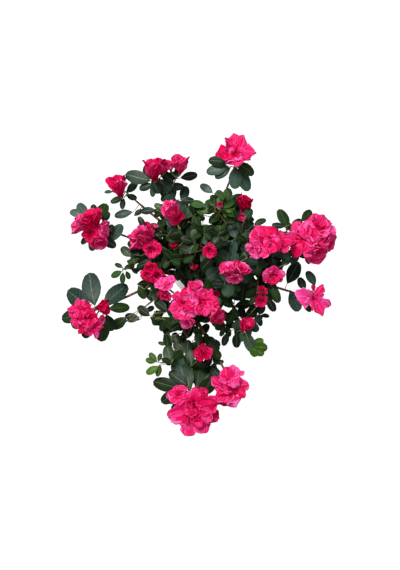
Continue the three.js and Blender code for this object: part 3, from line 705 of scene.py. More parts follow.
def crumb_skins(count):
    """Small balls: three rings of six whose points are pushed in and out by chance. Few are large,
    because the draw for the size is cubed."""
    distance = SOIL_RADIUS * CRUMBS_WITHIN * np.sqrt(soil_chance.random(count))
    angle = soil_chance.random(count) * 2 * np.pi
    size = CRUMB_SMALLEST + CRUMB_SPREAD * soil_chance.random(count) ** 3
    x, y = distance * np.cos(angle), distance * np.sin(angle)
    middle = np.stack([x, y, SOIL_LEVEL + lumps(x, y) + size * 0.35], -1)
    rise = np.radians([-50, 0, 50])[None, :, None]
    turn = -np.radians(np.arange(0, 360, 60))[None, None, :] + soil_chance.random((count, 1, 1))
    reach = size[:, None, None] * (0.75 + 0.5 * soil_chance.random((count, 3, 6)))
    ball = [np.cos(rise) * np.cos(turn) * reach, np.cos(rise) * np.sin(turn) * reach, np.sin(rise) * reach]
    rings = np.stack(ball, -1) + middle[:, None, None]
    pole = UP * size[:, None] * CRUMB_POLE
    return rings[:, :, ::-1], middle - pole, middle + pole


peat = finish("peat", (46, 32, 24), (24, 17, 13), 0.95, grain=260.0, relief=(900.0, 0.0008, 0.8))
crumb_brown = finish("peat_crumbs", (62, 44, 32), (30, 21, 16), 0.95, grain=500.0,
                     relief=(1200.0, 0.0005, 0.6))
soil_mesh = skin_mesh("soil_bed", soil_rings()[None], UP[None] * SOIL_FOOT,
                      UP[None] * (SOIL_LEVEL + lumps(0, 0)), [peat])
add_piece(soil_mesh, "soil", "soil")
add_piece(skin_mesh("soil_crumbs", *crumb_skins(CRUMBS), [crumb_brown]), "soil", "soil")

# %% [markdown]
# Bark. Azalea wood is grey-brown, with shallow lengthwise ridges and a small knob at each old leaf
# scar. A limb is a round section carried along its curve, and the relief is a change of its radius:
# waves that run round it and wander along it, and knobs that fade within two millimetres. Each limb
# swells where it leaves its parent, so the forks look grown and not stuck together.

# %% Trunk and boughs
TRUNK_RADII = (7.5, 5.0)
TRUNK_FLARE = 6.0
TRUNK_FLARE_POWER = 7
TRUNK_SIDES = 36
TRUNK_SPACING = 0.9
BOUGH_SIDES = 12
BOUGH_SPACING = 1.6
FORK_SWELL = 0.35
FORK_SWELL_LENGTH = 7
TIP_LENGTH = 1.5
RIDGES = (3, 5, 8, 13)
RIDGE_HEIGHT = 0.05
KNOB_HEIGHT = 0.35
KNOB_SIZE = 1.6
KNOB_EVERY = 9


def bark_relief(angle, along, girth, seed):
    """Share by which the radius is raised: wandering ridges and scattered knobs. angle is round the
    limb, along in millimetres, girth the limb's usual radius."""
    rng = np.random.default_rng(seed)
    relief = np.zeros(np.broadcast(angle, along).shape)
    for ridges in RIDGES:
        drift = 0.6 * np.sin(along / (6 + 9 * rng.random()) + 6.3 * rng.random())
        wave = np.sin(ridges * angle + 6.3 * rng.random() + drift * ridges / 3)
        relief += wave * RIDGE_HEIGHT / ridges**0.35
    count = int(along.max() / KNOB_EVERY)
    for place, side in zip(rng.random(count) * along.max(), rng.random(count) * 2 * np.pi):
        round_it = np.angle(np.exp(1j * (angle - side))) * girth
        far = (round_it**2 + (along - place) ** 2) / KNOB_SIZE**2
        relief += KNOB_HEIGHT / girth * np.exp(-far)
    return relief


def even_angles(sides):
    """The angles of so many sides round a section, in radians."""
    return np.linspace(0, 2 * np.pi, sides, endpoint=False)


def rings_round(curve, at, radius, sides):
    """Rings round a curve at some shares of it. radius has a row for each ring, of one number or of
    one for each side."""
    first, second = carried_frames(tangent_on(curve, at))
    angle = even_angles(sides)[:, None]
    out = first[:, None] * np.cos(angle) + second[:, None] * np.sin(angle)
    return point_on(curve, at)[:, None] + out * radius[..., None]


def limb_mesh(name, curve, last, radius_at, sides, spacing, seed, material):
    """A limb from its curve's start to the share last, with bark relief. radius_at gives the radius
    from the way done, 0 to 1, and the millimetres gone."""
    length = length_of(curve, 0, last)
    way = np.linspace(0, 1, int(length / spacing))
    girth = radius_at(way, way * length)
    relief = bark_relief(even_angles(sides)[None], way[:, None] * length, girth.mean(), seed)
    rings = rings_round(curve, way * last, girth[:, None] * (1 + relief), sides)
    tip = rings[-1].mean(0) + tangent_on(curve, last) * TIP_LENGTH
    return skin_mesh(name, rings[None], rings[:1].mean(1), tip[None], [material])


def trunk_radius(way, gone):
    """A straight taper, with a flare that fades away upwards."""
    return blend(*TRUNK_RADII, way) + TRUNK_FLARE * (1 - way) ** TRUNK_FLARE_POWER


def bough_radius(wide):
    """A straight taper from wide, with a swelling where the bough leaves its parent."""
    def radius_at(way, gone):
        return blend(wide, BOUGH_TIP_RADIUS, way) * (1 + FORK_SWELL * np.exp(-gone / FORK_SWELL_LENGTH))

    return radius_at


def join_meshes(name, meshes):
    """Several meshes of the same materials as one."""
    pieces = []
    for mesh in meshes:
        piece = bpy.data.objects.new(mesh.name, mesh)
        bpy.context.scene.collection.objects.link(piece)
        pieces.append(piece)
    with bpy.context.temp_override(active_object=pieces[0], selected_editable_objects=pieces):
        bpy.ops.object.join()
    joined = pieces[0].data
    bpy.data.objects.remove(pieces[0])
    joined.name = name
    return joined


bark = finish("bark", (112, 90, 70), (72, 56, 42), 0.85, grain=180.0, relief=(700.0, 0.0006, 0.6))
young_bark = finish("young_bark", (118, 92, 58), (92, 58, 44), 0.6, grain=140.0, relief=(900.0, 0.0003, 0.4))
trunk_mesh = limb_mesh("trunk_bark", limbs["trunk"], 1.0, trunk_radius, TRUNK_SIDES, TRUNK_SPACING, 0, bark)
add_piece(trunk_mesh, "bark", "trunk")
bough_meshes = []
for number, row in enumerate(PLAN, 1):
    wide = BOUGH_TRUNK_RADIUS if row["parent"] == "trunk" else BOUGH_FORK_RADIUS
    bough_meshes.append(limb_mesh(row["name"], limbs[row["name"]], BOUGH_SHARE, bough_radius(wide),
                                  BOUGH_SIDES, BOUGH_SPACING, number, young_bark))
add_piece(join_meshes("bough_bark", bough_meshes), "bark", *BOUGH_NODES)

# %% [markdown]
# Shoots. The leading shoot of a mass is the rest of its bough's curve, and side shoots leave it at
# golden-angle bearings, as in the frame. The looks add sprigs: shorter, thinner twigs along each
# bough, nearly all of them in the dense middle of the crown, with smaller leaves. A sprig whose tip
# would be seen in an open place isn't grown.

# %% Shoots and sprigs
GOLDEN_ANGLE = 137.5
SIDE_TILT = 58
SIDE_FOLLOWS = 0.4
SIDE_FIRST = 0.8
SIDE_LAST = 0.93
SHOOT_TURN = 60
SIDE_WHORL_LESS = 3
SIDE_LEAF_SIZE = 0.85
STEM_LEAVES = 2
SEEDS_PER_MASS = 100
SPRIG_SEEDS = 50
SPRIG_PLACES = (0.16, 0.95)
SPRIG_TURN = 70
SPRIG_STRAY = 40
SPRIG_TILTS = (50, 80)
SPRIG_LENGTHS = (18, 42)
SPRIG_LIFT = 0.15
SPRIG_BEND = 0.35
SPRIG_LEAVES = (5, 8)
SPRIG_LEAF_MOST = 34
SPRIG_LEAF_SIZE = (0.62, 1.1)
SPRIG_OUTSIDE = 0.1
SPRIG_SKY_MARGIN = 3


def shoots_of(row):
    """The leading shoot of a mass and its side shoots, as the frame has them."""
    curve = limbs[row["name"]]
    shoots = [dict(row=row, curve=curve, first=BOUGH_SHARE, leaf=row["leaf"], whorl=row["whorl"],
                   stem=STEM_LEAVES, turn=row["turn"], kind="leader")]
    for k in range(row["sides"]):
        at = blend(SIDE_FIRST, SIDE_LAST, k / (row["sides"] - 1) if row["sides"] > 1 else 0.5)
        start = point_on(curve, at)
        way = leaning(row["turn"] + k * GOLDEN_ANGLE, SIDE_TILT) + tangent_on(curve, 1) * SIDE_FOLLOWS
        shoots.append(dict(row=row, curve=straight(start, start + way * row["spread"]), first=0,
                           leaf=row["leaf"] * SIDE_LEAF_SIZE, whorl=row["whorl"] - SIDE_WHORL_LESS,
                           stem=0, turn=row["turn"] + (k + 1) * SHOOT_TURN, kind="side"))
    return shoots


def sprigs_of(row, chance):
    """Finer twigs along a bough: each leaves it at a golden-angle bearing and bends up."""
    curve = limbs[row["name"]]
    sprigs = []
    for k in range(row["sprigs"]):
        at = blend(*SPRIG_PLACES, (k + chance()) / row["sprigs"])
        start = point_on(curve, at)
        bearing = row["turn"] + SPRIG_TURN + k * GOLDEN_ANGLE + SPRIG_STRAY * (chance() - 0.5)
        length = blend(*SPRIG_LENGTHS, chance())
        leaf = min(row["leaf"], SPRIG_LEAF_MOST) * blend(*SPRIG_LEAF_SIZE, chance())
        whorl = int(blend(*SPRIG_LEAVES, chance()))
        out = leaning(bearing, blend(*SPRIG_TILTS, chance()))
        end = start + out * length + UP * length * SPRIG_LIFT
        if under_sky(end, SPRIG_SKY_MARGIN) or not (in_core(end) or chance() < SPRIG_OUTSIDE):
            continue
        bent = bent_curve(start, out, end, unit(out + UP * 0.9), SPRIG_BEND)
        sprigs.append(dict(row=row, curve=bent, first=0, leaf=leaf, whorl=whorl, stem=1 + int(2 * chance()),
                           turn=bearing, kind="sprig"))
    return sprigs


shoots = []
for number, row in enumerate(PLAN):
    seed = SEED + SEEDS_PER_MASS * number
    grown = shoots_of(row) + sprigs_of(row, chance_from(seed + SPRIG_SEEDS))
    for k, shoot in enumerate(grown):
        shoot["seed"] = seed + k
    shoots += grown
tips_of = {row["name"]: point_on(limbs[row["name"]], 1) for row in PLAN}
print("shoots:", len(shoots), "of which sprigs:", sum(s["kind"] == "sprig" for s in shoots))

# %% [markdown]
# Blooms come before the leaves, because leaves give way to them. The table is the portrait part of
# the plant: one row for each bloom, placed where the photo shows it. A row says on which mass it
# stands, where it is seen (across and down, in the photo's pixels), how far above the mass's tip, how
# long its petals are, its kind, its hue from 0 (claret) to 3 (pink), and the bearing and tilt it faces.
# Closed kinds stand on their axis like a cup, and the others lie open about it.

# %% Table of blooms
BLOOMS = dict(
    north=[(236, 153, 10, 32, "star", 2, 90, 6), (236, 154, 14, 17, "full", 2, 120, 10)],
    north_west=[(155, 181, 10, 38, "tulip", 1, 94, 52), (180, 174, 8, 30, "tulip", 2, 84, 52),
                (171, 171, 2, 14, "half", 3, 100, 70), (165, 172, 6, 22, "tulip", 2, 66, 56)],
    west_north=[(121, 197, 8, 35, "tulip", 1, 106, 60)],
    west=[(98, 227, 12, 32, "half", 1, 126, 58), (87, 229, 8, 28, "half", 3, 156, 70),
          (91, 233, 10, 17, "full", 1, 250, 30), (96, 229, 6, 24, "half", 3, 352, 70),
          (96, 235, 6, 23, "half", 2, 290, 70)],
    inner_north=[(176, 222, 8, 32, "tulip", 2, 116, 56), (176, 217, 10, 13, "full", 1, 300, 40),
                 (169, 206, 9, 13, "full", 3, 120, 30)],
    inner_west=[(151, 245, 4, 38, "half", 2, 118, 64), (149, 244, 4, 32, "half", 2, 160, 70),
                (152, 249, 12, 17, "full", 1, 250, 24)],
    inner_south_west=[(151, 268, 10, 12, "full", 0, 90, 20), (147, 275, 9, 12, "full", 1, 220, 30),
                      (157, 276, 10, 14, "full", 1, 330, 25)],
    front=[(166, 285, 6, 18, "full", 3, 120, 40), (167, 290, 2, 18, "half", 2, 252, 66),
           (184, 304, 8, 27, "open", 2, 200, 24), (201, 302, 11, 29, "open", 2, 40, 12),
           (188, 315, 3, 20, "half", 3, 262, 60), (195, 292, 5, 18, "half", 2, 90, 50),
           (209, 312, 4, 20, "half", 2, 330, 60)],
    heart_south=[(214, 292, 9, 10, "half", 0, 300, 50)],
    inner_south=[(218, 316, 6, 14, "full", 1, 300, 24)],
    centre=[(209, 250, 6, 13, "full", 1, 330, 30)],
    heart_west=[(174, 249, 2, 10, "half", 0, 90, 55), (195, 270, -8, 9, "half", 0, 100, 50)],
    crown_north=[(222, 207, 8, 11, "bud", 2, 150, 30)],
    north_east=[(241, 211, 12, 27, "tulip", 0, 66, 62), (243, 215, 15, 12, "cup", 2, 240, 40)],
    east_inner=[(266, 242, 12, 31, "full", 2, 120, 22), (276, 242, 9, 27, "open", 2, 62, 34),
                (262, 247, 8, 24, "half", 3, 206, 60)],
    east=[(317, 231, 14, 33, "full", 2, 40, 14), (302, 238, 12, 32, "open", 2, 190, 26),
          (313, 245, 8, 30, "half", 2, 284, 60), (321, 240, 8, 24, "half", 2, 330, 56)],
    inner_east=[(231, 276, 14, 22, "half", 2, 116, 52), (239, 275, 14, 21, "half", 2, 62, 52),
                (235, 274, 10, 11, "full", 1, 90, 20), (235, 272, 10, 19, "half", 3, 268, 66)],
    inner_south_east=[(273, 275, 8, 19, "full", 2, 270, 30), (262, 291, 5, 10, "full", 1, 90, 30),
                      (261, 301, 3, 11, "full", 1, 270, 30)],
    south_east=[(242, 332, 8, 26, "tulip", 1, 62, 54)],
    east_south=[(314, 299, 10, 36, "loose", 3, 300, 10), (314, 291, 12, 10, "bud", 0, 100, 66),
                (312, 297, 9, 34, "broad", 3, 184, 8)],
    south_west=[(79, 309, 10, 20, "lobed", 2, 120, 26), (86, 309, 11, 16, "lobed", 1, 60, 24),
                (78, 317, 10, 19, "lobed", 2, 200, 30), (88, 318, 12, 18, "full", 1, 300, 12),
                (94, 328, 9, 19, "lobed", 2, 300, 34), (84, 326, 8, 18, "lobed", 1, 240, 34),
                (95, 308, 14, 25, "tulip", 0, 6, 82), (98, 319, 8, 12, "half", 3, 340, 60)],
    south=[(193, 410, 11, 38, "open", 2, 200, 14), (197, 407, 15, 26, "full", 1, 20, 14),
           (187, 412, 14, 22, "open", 1, 190, 30), (203, 412, 9, 32, "petal", 2, 318, 10),
           (199, 414, 9, 32, "petal", 2, 290, 14), (205, 406, 10, 26, "petal", 2, 18, 10),
           (188, 413, 9, 33, "petal", 2, 204, 10), (192, 419, 8, 34, "petal", 2, 262, 12),
           (179, 395, 10, 20, "full", 2, 120, 26), (199, 396, 10, 17, "full", 1, 80, 22)],
    south_side=[(229, 389, 9, 32, "open", 2, 90, 10), (230, 379, 12, 22, "open", 3, 84, 34),
                (229, 397, 10, 21, "full", 1, 274, 40), (232, 388, 14, 18, "full", 2, 4, 20)],
    south_stem=[(203, 354, 30, 17, "full", 1, 80, 18)],
)
print("rows of blooms:", sum(len(table) for table in BLOOMS.values()))

# %% Place the blooms
CLOSED_KINDS = ("half", "cup", "tulip", "bud")
CLOSED_SHARES = dict(sunk=0.05, middle=0.5, reach=0.45)
OPEN_SHARES = dict(sunk=0.22, middle=0.25, reach=0.85)
HALF_PETAL_TURN = 36
LOOSE_TURN = 285


def own_shoots(mass):
    """The leading shoot of a mass and its side shoots."""
    return [shoot for shoot in shoots if shoot["row"]["name"] == mass and shoot["kind"] != "sprig"]


blooms = []
for mass, table in BLOOMS.items():
    ends = [point_on(shoot["curve"], 1) for shoot in own_shoots(mass)]
    for across, down, rise, petal, kind, hue, bearing, tilt in table:
        place = place_of(across, down, tips_of[mass][2] + rise)
        near = min(ends, key=lambda end: np.linalg.norm(end - place))
        axis = leaning(bearing, tilt)
        shares = CLOSED_SHARES if kind in CLOSED_KINDS else OPEN_SHARES
        foot = place - axis * petal * shares["sunk"]
        turn = LOOSE_TURN if kind == "loose" else bearing + HALF_PETAL_TURN * (kind in ("cup", "tulip"))
        blooms.append(dict(foot=foot, axis=axis, petal=petal, kind=kind, hue=hue, turn=turn, root=near,
                           middle=foot + axis * petal * shares["middle"], reach=petal * shares["reach"],
                           seed=7 * SEED + len(blooms)))
print("blooms:", len(blooms), "longest stalk",
      round(max(np.linalg.norm(bloom["foot"] - bloom["root"]) for bloom in blooms)), "mm")

# %% [markdown]
# The leaves round the crown's edge make its outline, so they are a portrait too. A row gives the
# places where a leaf's root and its tip are seen, across and down, in the photo's pixels. Two more
# numbers, where there are any, are its width as a share of its length and its tone. FRESH_EDGE says
# which leaves of a mass are its youngest, counted from 0, and FRESH_LOW how many steps they hang
# under the shoot. A leaf whose root stands off its shoot gets a short twig of its own.

# %% Table of the edge leaves
EDGE_LEAVES = dict(
    north=[(231, 162, 208, 160), (229, 166, 206, 172), (231, 167, 215, 178), (235, 166, 236, 189),
           (238, 168, 249, 191), (236, 163, 255, 173), (213, 193, 200, 184), (216, 201, 219, 189)],
    north_west=[(151, 181, 125, 174), (153, 184, 139, 189), (154, 183, 152, 197), (161, 184, 164, 198),
                (163, 181, 178, 172), (163, 184, 175, 187), (164, 191, 175, 201), (167, 188, 184, 185),
                (180, 178, 198, 175), (181, 201, 188, 186), (171, 190, 161, 201), (152, 179, 158, 194),
                (157, 179, 172, 190), (158, 180, 168, 195)],
    west_north=[(126, 193, 138, 182), (126, 195, 137, 199), (124, 197, 110, 202), (124, 198, 121, 209),
                (113, 192, 104, 191), (133, 212, 114, 215), (134, 216, 142, 209)],
    west=[(96, 222, 106, 202), (102, 222, 110, 212), (88, 218, 77, 203), (85, 216, 70, 210),
          (109, 243, 122, 223), (106, 238, 113, 224), (100, 236, 116, 247), (95, 236, 91, 251),
          (91, 235, 80, 243), (96, 216, 92, 204)],
    south_west=[(95, 306, 87, 272, 0.55, 0), (90, 307, 66, 291, 0.62, 0), (82, 313, 61, 319, 0.62, 1),
                (103, 306, 127, 283, 0.52, 0), (108, 309, 130, 306, 0.5, 1), (103, 314, 101, 342, 0.6, 1),
                (106, 314, 113, 331, 0.6, 1), (92, 318, 83, 338, 0.6, 1), (88, 310, 72, 328, 0.6, 1)],
    south_west_twig=[(127, 317, 112, 329), (140, 317, 127, 321), (145, 314, 138, 306), (146, 312, 154, 306),
                     (158, 311, 155, 326), (162, 317, 178, 329), (168, 311, 154, 300), (152, 302, 147, 289),
                     (150, 284, 162, 297), (140, 284, 149, 295), (166, 320, 160, 331), (137, 284, 151, 283),
                     (138, 286, 145, 299), (150, 316, 137, 307), (165, 311, 152, 318), (150, 318, 166, 323),
                     (128, 321, 113, 321), (140, 320, 125, 314), (157, 296, 170, 306)],
    west_twig=[(123, 268, 115, 263), (122, 271, 111, 277), (123, 272, 122, 284), (124, 270, 130, 264),
               (126, 271, 130, 279), (131, 269, 138, 273), (132, 257, 121, 247), (134, 265, 127, 260),
               (143, 262, 136, 272)],
    inner_west=[(140, 256, 131, 247), (152, 224, 160, 240), (173, 243, 157, 242), (165, 245, 168, 260),
                (155, 263, 144, 259), (150, 262, 136, 267), (160, 228, 150, 224)],
    inner_north=[(180, 220, 193, 208), (175, 223, 167, 235), (180, 223, 192, 231), (178, 226, 187, 241),
                 (171, 220, 160, 225), (156, 210, 140, 211), (184, 221, 196, 219), (178, 221, 184, 205)],
    centre=[(204, 250, 192, 246), (195, 256, 183, 262), (202, 256, 199, 270), (208, 254, 216, 262),
            (206, 246, 203, 234), (212, 248, 224, 243)],
    inner_east=[(222, 269, 207, 279, 0.95, 0), (227, 281, 229, 297, 0.85, 0), (226, 265, 221, 249, 0.8, 0),
                (234, 266, 236, 252, 0.6, 0), (219, 268, 209, 262)],
    inner_north_east=[(237, 239, 229, 223), (244, 238, 251, 223), (241, 244, 255, 245), (236, 242, 224, 236),
                      (240, 246, 236, 258)],
    crown_north=[(224, 209, 233, 198), (224, 211, 238, 214), (220, 213, 223, 224), (216, 210, 204, 212),
                 (217, 208, 207, 199), (206, 206, 190, 202), (222, 214, 232, 224), (215, 213, 210, 224),
                 (216, 207, 209, 204), (215, 206, 214, 199), (225, 210, 231, 212), (224, 211, 226, 217)],
    north_east=[(247, 213, 250, 224), (243, 217, 238, 229), (247, 216, 254, 221)],
    east=[(288, 229, 280, 208, 0.5, 1), (291, 229, 302, 219, 0.6, 1), (301, 221, 313, 211, 0.6, 1),
          (300, 254, 290, 263), (305, 255, 310, 264), (294, 232, 284, 221), (296, 252, 306, 257),
          (304, 254, 287, 253)],
    east_inner=[(262, 232, 256, 222), (262, 255, 250, 263), (271, 256, 277, 272), (270, 258, 262, 268),
                (256, 240, 245, 232), (280, 253, 290, 259), (257, 252, 247, 254)],
    inner_south_east=[(268, 281, 277, 294), (270, 283, 279, 303), (257, 279, 253, 290), (266, 288, 270, 306),
                      (258, 284, 247, 287), (276, 270, 284, 262), (256, 296, 249, 304), (268, 298, 274, 312)],
    east_south=[(287, 284, 300, 262), (315, 286, 308, 270), (305, 291, 299, 277), (290, 290, 300, 311),
                (303, 301, 311, 312)],
    south_east=[(228, 332, 223, 346), (237, 332, 236, 348), (246, 331, 252, 353),
                (252, 346, 268, 348, 0.65), (251, 346, 256, 357, 0.7), (252, 344, 264, 340, 0.6),
                (252, 323, 263, 316), (250, 319, 256, 303), (243, 320, 240, 305), (239, 325, 225, 325),
                (243, 330, 242, 342), (232, 321, 227, 312), (252, 348, 264, 355, 0.65)],
    south_stem=[(172, 347, 165, 332), (166, 345, 158, 342), (176, 350, 166, 365), (157, 362, 149, 353),
                (156, 362, 145, 360), (158, 362, 161, 353), (159, 366, 146, 374), (160, 364, 158, 377),
                (178, 347, 174, 332), (183, 340, 192, 325), (187, 357, 188, 339), (190, 345, 196, 358),
                (199, 346, 198, 331), (194, 352, 186, 362), (172, 352, 164, 350), (196, 362, 208, 366),
                (170, 336, 162, 326), (210, 344, 204, 333), (171, 364, 166, 345), (181, 351, 182, 335),
                (168, 349, 166, 334), (184, 355, 173, 343), (197, 341, 187, 353), (192, 366, 189, 349),
                (205, 342, 221, 345), (206, 352, 222, 357), (186, 334, 177, 344),
                (182, 340, 190, 326, 0.55, 1), (199, 336, 209, 324, 0.55, 1)],
    south=[(190, 392, 185, 363, 0.42, 1), (187, 388, 175, 352, 0.52, 0), (195, 391, 215, 366, 0.6, 1),
           (196, 388, 201, 360, 0.5, 1), (180, 389, 153, 380, 0.5, 1), (179, 391, 161, 403, 0.6, 1),
           (184, 403, 171, 410, 0.6, 1), (188, 386, 168, 372, 0.5, 1), (196, 394, 217, 380, 0.6, 1),
           (186, 398, 166, 399, 0.6, 1)],
    south_side=[(221, 378, 211, 366), (214, 365, 219, 350), (219, 384, 212, 387), (216, 364, 224, 361),
                (204, 337, 219, 351), (209, 350, 218, 358), (212, 356, 204, 368), (215, 362, 212, 374)],
    heart_west=[(178, 268, 187, 280), (186, 266, 192, 280), (174, 270, 178, 281)],
)
FRESH_EDGE = dict(south_stem=(3, 4, 5, 6, 7), south_east=(3, 4, 5, 12), crown_north=(8, 9, 10, 11))
FRESH_LOW = dict(south_stem=3, south_east=8, crown_north=-1)
EDGE_LEAF_LOW = 2.5
EDGE_LEAF_STEP = 1.5
EDGE_LEAF_FALL = 0.14
EDGE_TWIG_FROM = 2.5
EDGE_TWIG_RISE = 0.2
EDGE_TWIG_TURN = 0.3
EDGE_TWIG_BEND = 0.33
EDGE_WHORL_DEPTH = 12
EDGE_STEM_RISE = 1.5
EDGE_WALK_FROM = 0.4
EDGE_WALK_STOPS = 40


def edge_leaves(mass, twigs):
    """The leaves of a mass that are seen at given places. Adds the short twigs they need. Leaves of a
    whorl hang at five levels, or two where they are fresh, so that neighbours lie over each other."""
    own = own_shoots(mass)
    walks = np.concatenate([point_on(shoot["curve"], np.linspace(min(shoot["first"], EDGE_WALK_FROM), 1,
                                                                 EDGE_WALK_STOPS)) for shoot in own])
    leaves = []
    for k, (across, down, tip_across, tip_down, *more) in enumerate(EDGE_LEAVES[mass]):
        # A row may end with its width and tone. One that doesn't has no width of its own, and no tone.
        wide, tone = more + [0, None][len(more):]
        apart = np.linalg.norm(seen_at(walks) - (across, down), axis=1)
        near = walks[np.argmin(apart)]
        whorl = tips_of[mass][2] - near[2] < EDGE_WHORL_DEPTH
        fresh = k in FRESH_EDGE.get(mass, ())
        step = FRESH_LOW[mass] + k % 2 if fresh else k % 5
        low = near[2] + (-EDGE_LEAF_LOW - EDGE_LEAF_STEP * step if whorl else EDGE_STEM_RISE)
        low += EDGE_TWIG_RISE * apart.min()
        root = place_of(across, down, low)
        size = np.linalg.norm(place_of(tip_across, tip_down, low) - root)
        tip = place_of(tip_across, tip_down, low - size * EDGE_LEAF_FALL)
        way = unit(tip - root)
        if np.linalg.norm(near - root) > EDGE_TWIG_FROM:
            arrive = unit(root - near + way * size * EDGE_TWIG_TURN)
            curve = bent_curve(near, unit(root - near), root, arrive, EDGE_TWIG_BEND)
            twigs.append(dict(row=own[0]["row"], curve=curve, first=0, turn=k, kind="stub"))
        leaves.append(dict(shoot=own[0], root=root, way=way, size=np.linalg.norm(tip - root), wide=wide,
                           edge=True, given=FRESH if fresh else tone, face=unit(UP - np.dot(UP, way) * way)))
    return leaves


stubs = []
leaves = [leaf for mass in EDGE_LEAVES for leaf in edge_leaves(mass, stubs)]
print("edge leaves:", len(leaves), "short twigs:", len(stubs))

# %% [markdown]
# The other leaves follow a rule. Each shoot ends in a whorl: young leaves stand near the tip, older
# ones lie flat below, at golden-angle bearings, and a few more stand along the stem. A leaf is kept if
# it clears the blooms and the edge leaves and isn't seen in an open place.

# %% Leaves by rule
SIZE_SPREAD = 0.16
OPENING_SPREAD = 16
WHORL_TURN_SPREAD = 30
STEM_TURN_SPREAD = 60
WHORL_DEPTH = 0.4
WHORL_DEEPEST = 0.8
WHORL_TOP = 0.99
LEAF_OPEN_TOP = 58
LEAF_OPEN_FOOT = 92
LEAF_YOUNG = 0.72
LEAF_FLATTEN = 0.6
LEAF_LIFT = 0.1
LEAF_FACES_SKY = 0.65
STEM_LEAF_SIZE = 0.7
STEM_LEAF_OPEN = 66
STEM_LEAF_TURN = 90
STEM_LEAF_LOW = 0.6


def leaf_on(shoot, at, angle, opening, size):
    """A leaf's root, way and face, from its place on a shoot and its angle round it."""
    along = tangent_on(shoot["curve"], at)
    first, second = square_to(along)
    a, o = np.radians(angle), np.radians(opening)
    outward = first * np.cos(a) + second * np.sin(a)
    way = along * np.cos(o) + outward * np.sin(o)
    way[2] = way[2] * LEAF_FLATTEN + LEAF_LIFT
    way = unit(way)
    face = UP * LEAF_FACES_SKY + along * (1 - LEAF_FACES_SKY)
    return dict(shoot=shoot, root=point_on(shoot["curve"], at), way=way, size=size,
                face=unit(face - np.dot(face, way) * way))


def leaves_of(shoot):
    """The whorl of a shoot from the top down, then the leaves on its stem."""
    chance = chance_from(shoot["seed"])
    first = shoot["first"]
    reach = np.linalg.norm(point_on(shoot["curve"], 1) - point_on(shoot["curve"], first))
    depth = min(WHORL_DEEPEST, shoot["leaf"] * WHORL_DEPTH / reach) * (1 - first)
    leaves = []
    for i in range(shoot["whorl"]):
        down = i / (shoot["whorl"] - 1)
        size = shoot["leaf"] * blend(LEAF_YOUNG, 1, down) * (1 + SIZE_SPREAD * (chance() - 0.5))
        opening = blend(LEAF_OPEN_TOP, LEAF_OPEN_FOOT, down) + OPENING_SPREAD * (chance() - 0.5)
        angle = shoot["turn"] + i * GOLDEN_ANGLE + WHORL_TURN_SPREAD * (chance() - 0.5)
        leaves.append(leaf_on(shoot, WHORL_TOP - depth * down, angle, opening, size))
    for i in range(shoot["stem"]):
        at = blend(first, 1 - depth, (i + blend(STEM_LEAF_LOW, 1, chance())) / (shoot["stem"] + 1))
        angle = shoot["turn"] + STEM_LEAF_TURN + i * GOLDEN_ANGLE + STEM_TURN_SPREAD * (chance() - 0.5)
        size = shoot["leaf"] * STEM_LEAF_SIZE * (1 + SIZE_SPREAD * (chance() - 0.5))
        leaves.append(leaf_on(shoot, at, angle, STEM_LEAF_OPEN, size))
    return leaves


grown = {id(shoot): leaves_of(shoot) for shoot in shoots}
print("leaves before any gives way:", sum(len(made) for made in grown.values()))

# %% Leaves that find room
LEAF_SHARES = np.array([0.25, 0.6, 0.95])
OUTER_SHARES = (0.6, 1)
BLOOM_CLEAR = 0.95
BLOOM_DEPTH = 0.5
EDGE_MIDDLE = 0.55
EDGE_CLEAR = 0.26
EDGE_SIDE = 0.45
LEAF_SKY_MARGIN = 1.5
bloom_middles, bloom_reaches = (np.array([bloom[key] for bloom in blooms]) for key in ("middle", "reach"))
edge_middles = np.array([leaf["root"] + leaf["way"] * leaf["size"] * EDGE_MIDDLE for leaf in leaves])
edge_reaches = np.array([leaf["size"] * max(EDGE_CLEAR, leaf["wide"] * EDGE_SIDE) for leaf in leaves])


def covers(leaf, middles, reaches, depths):
    """True if a leaf would lie over one of some round places, each with its middle, its reach to the
    side and the depth under its middle to which the leaf still counts."""
    stops = leaf["root"] + leaf["way"] * leaf["size"] * LEAF_SHARES[:, None]
    off = stops[:, None] - middles
    return ((np.hypot(off[..., 0], off[..., 1]) < reaches) & (off[..., 2] > -depths)).any()


def finds_room(leaf):
    """True if a leaf covers no bloom and no edge leaf and isn't seen in an open place."""
    outer = leaf["root"] + np.outer(OUTER_SHARES, leaf["way"] * leaf["size"])
    return not (under_sky(outer, LEAF_SKY_MARGIN).any() or covers(leaf, edge_middles, edge_reaches, 0)
                or covers(leaf, bloom_middles, bloom_reaches * BLOOM_CLEAR, bloom_reaches * BLOOM_DEPTH))


for shoot in shoots:
    named = shoot["kind"] == "leader" and shoot["row"]["name"] in EDGE_LEAVES
    if not named or in_core(point_on(shoot["curve"], 1)):
        leaves += filter(finds_room, grown[id(shoot)])
leafy = {id(leaf["shoot"]) for leaf in leaves}
shoots = [shoot for shoot in shoots if shoot["kind"] == "leader" or id(shoot) in leafy] + stubs
print("leaves:", len(leaves), "twigs:", len(shoots))

# %% [markdown]
# Twigs and stalks are round sections carried along curves, like the boughs but with fewer sides. A
# twig starts brown and ends green, and the long bare stems in front of the crown are paler. A stalk
# widens to the small cup that holds the petals.

# %% Twigs and stalks
TWIG_STEPS = 10
TWIG_SIDES = 7
TWIG_FOOT_RADIUS = 1.3
TWIG_RADII = dict(leader=(BOUGH_TIP_RADIUS, TWIG_TIP_RADIUS), side=(TWIG_FOOT_RADIUS, TWIG_TIP_RADIUS))
THIN_RADII = (0.7, 0.45)
JOINT_SWELL = 0.12
STALK_STEPS = 8
STALK_RADIUS = 0.75
STALK_BEND = 0.4
STALK_INTO_BLOOM = 1.5
CALYX_RADIUS = 2.2


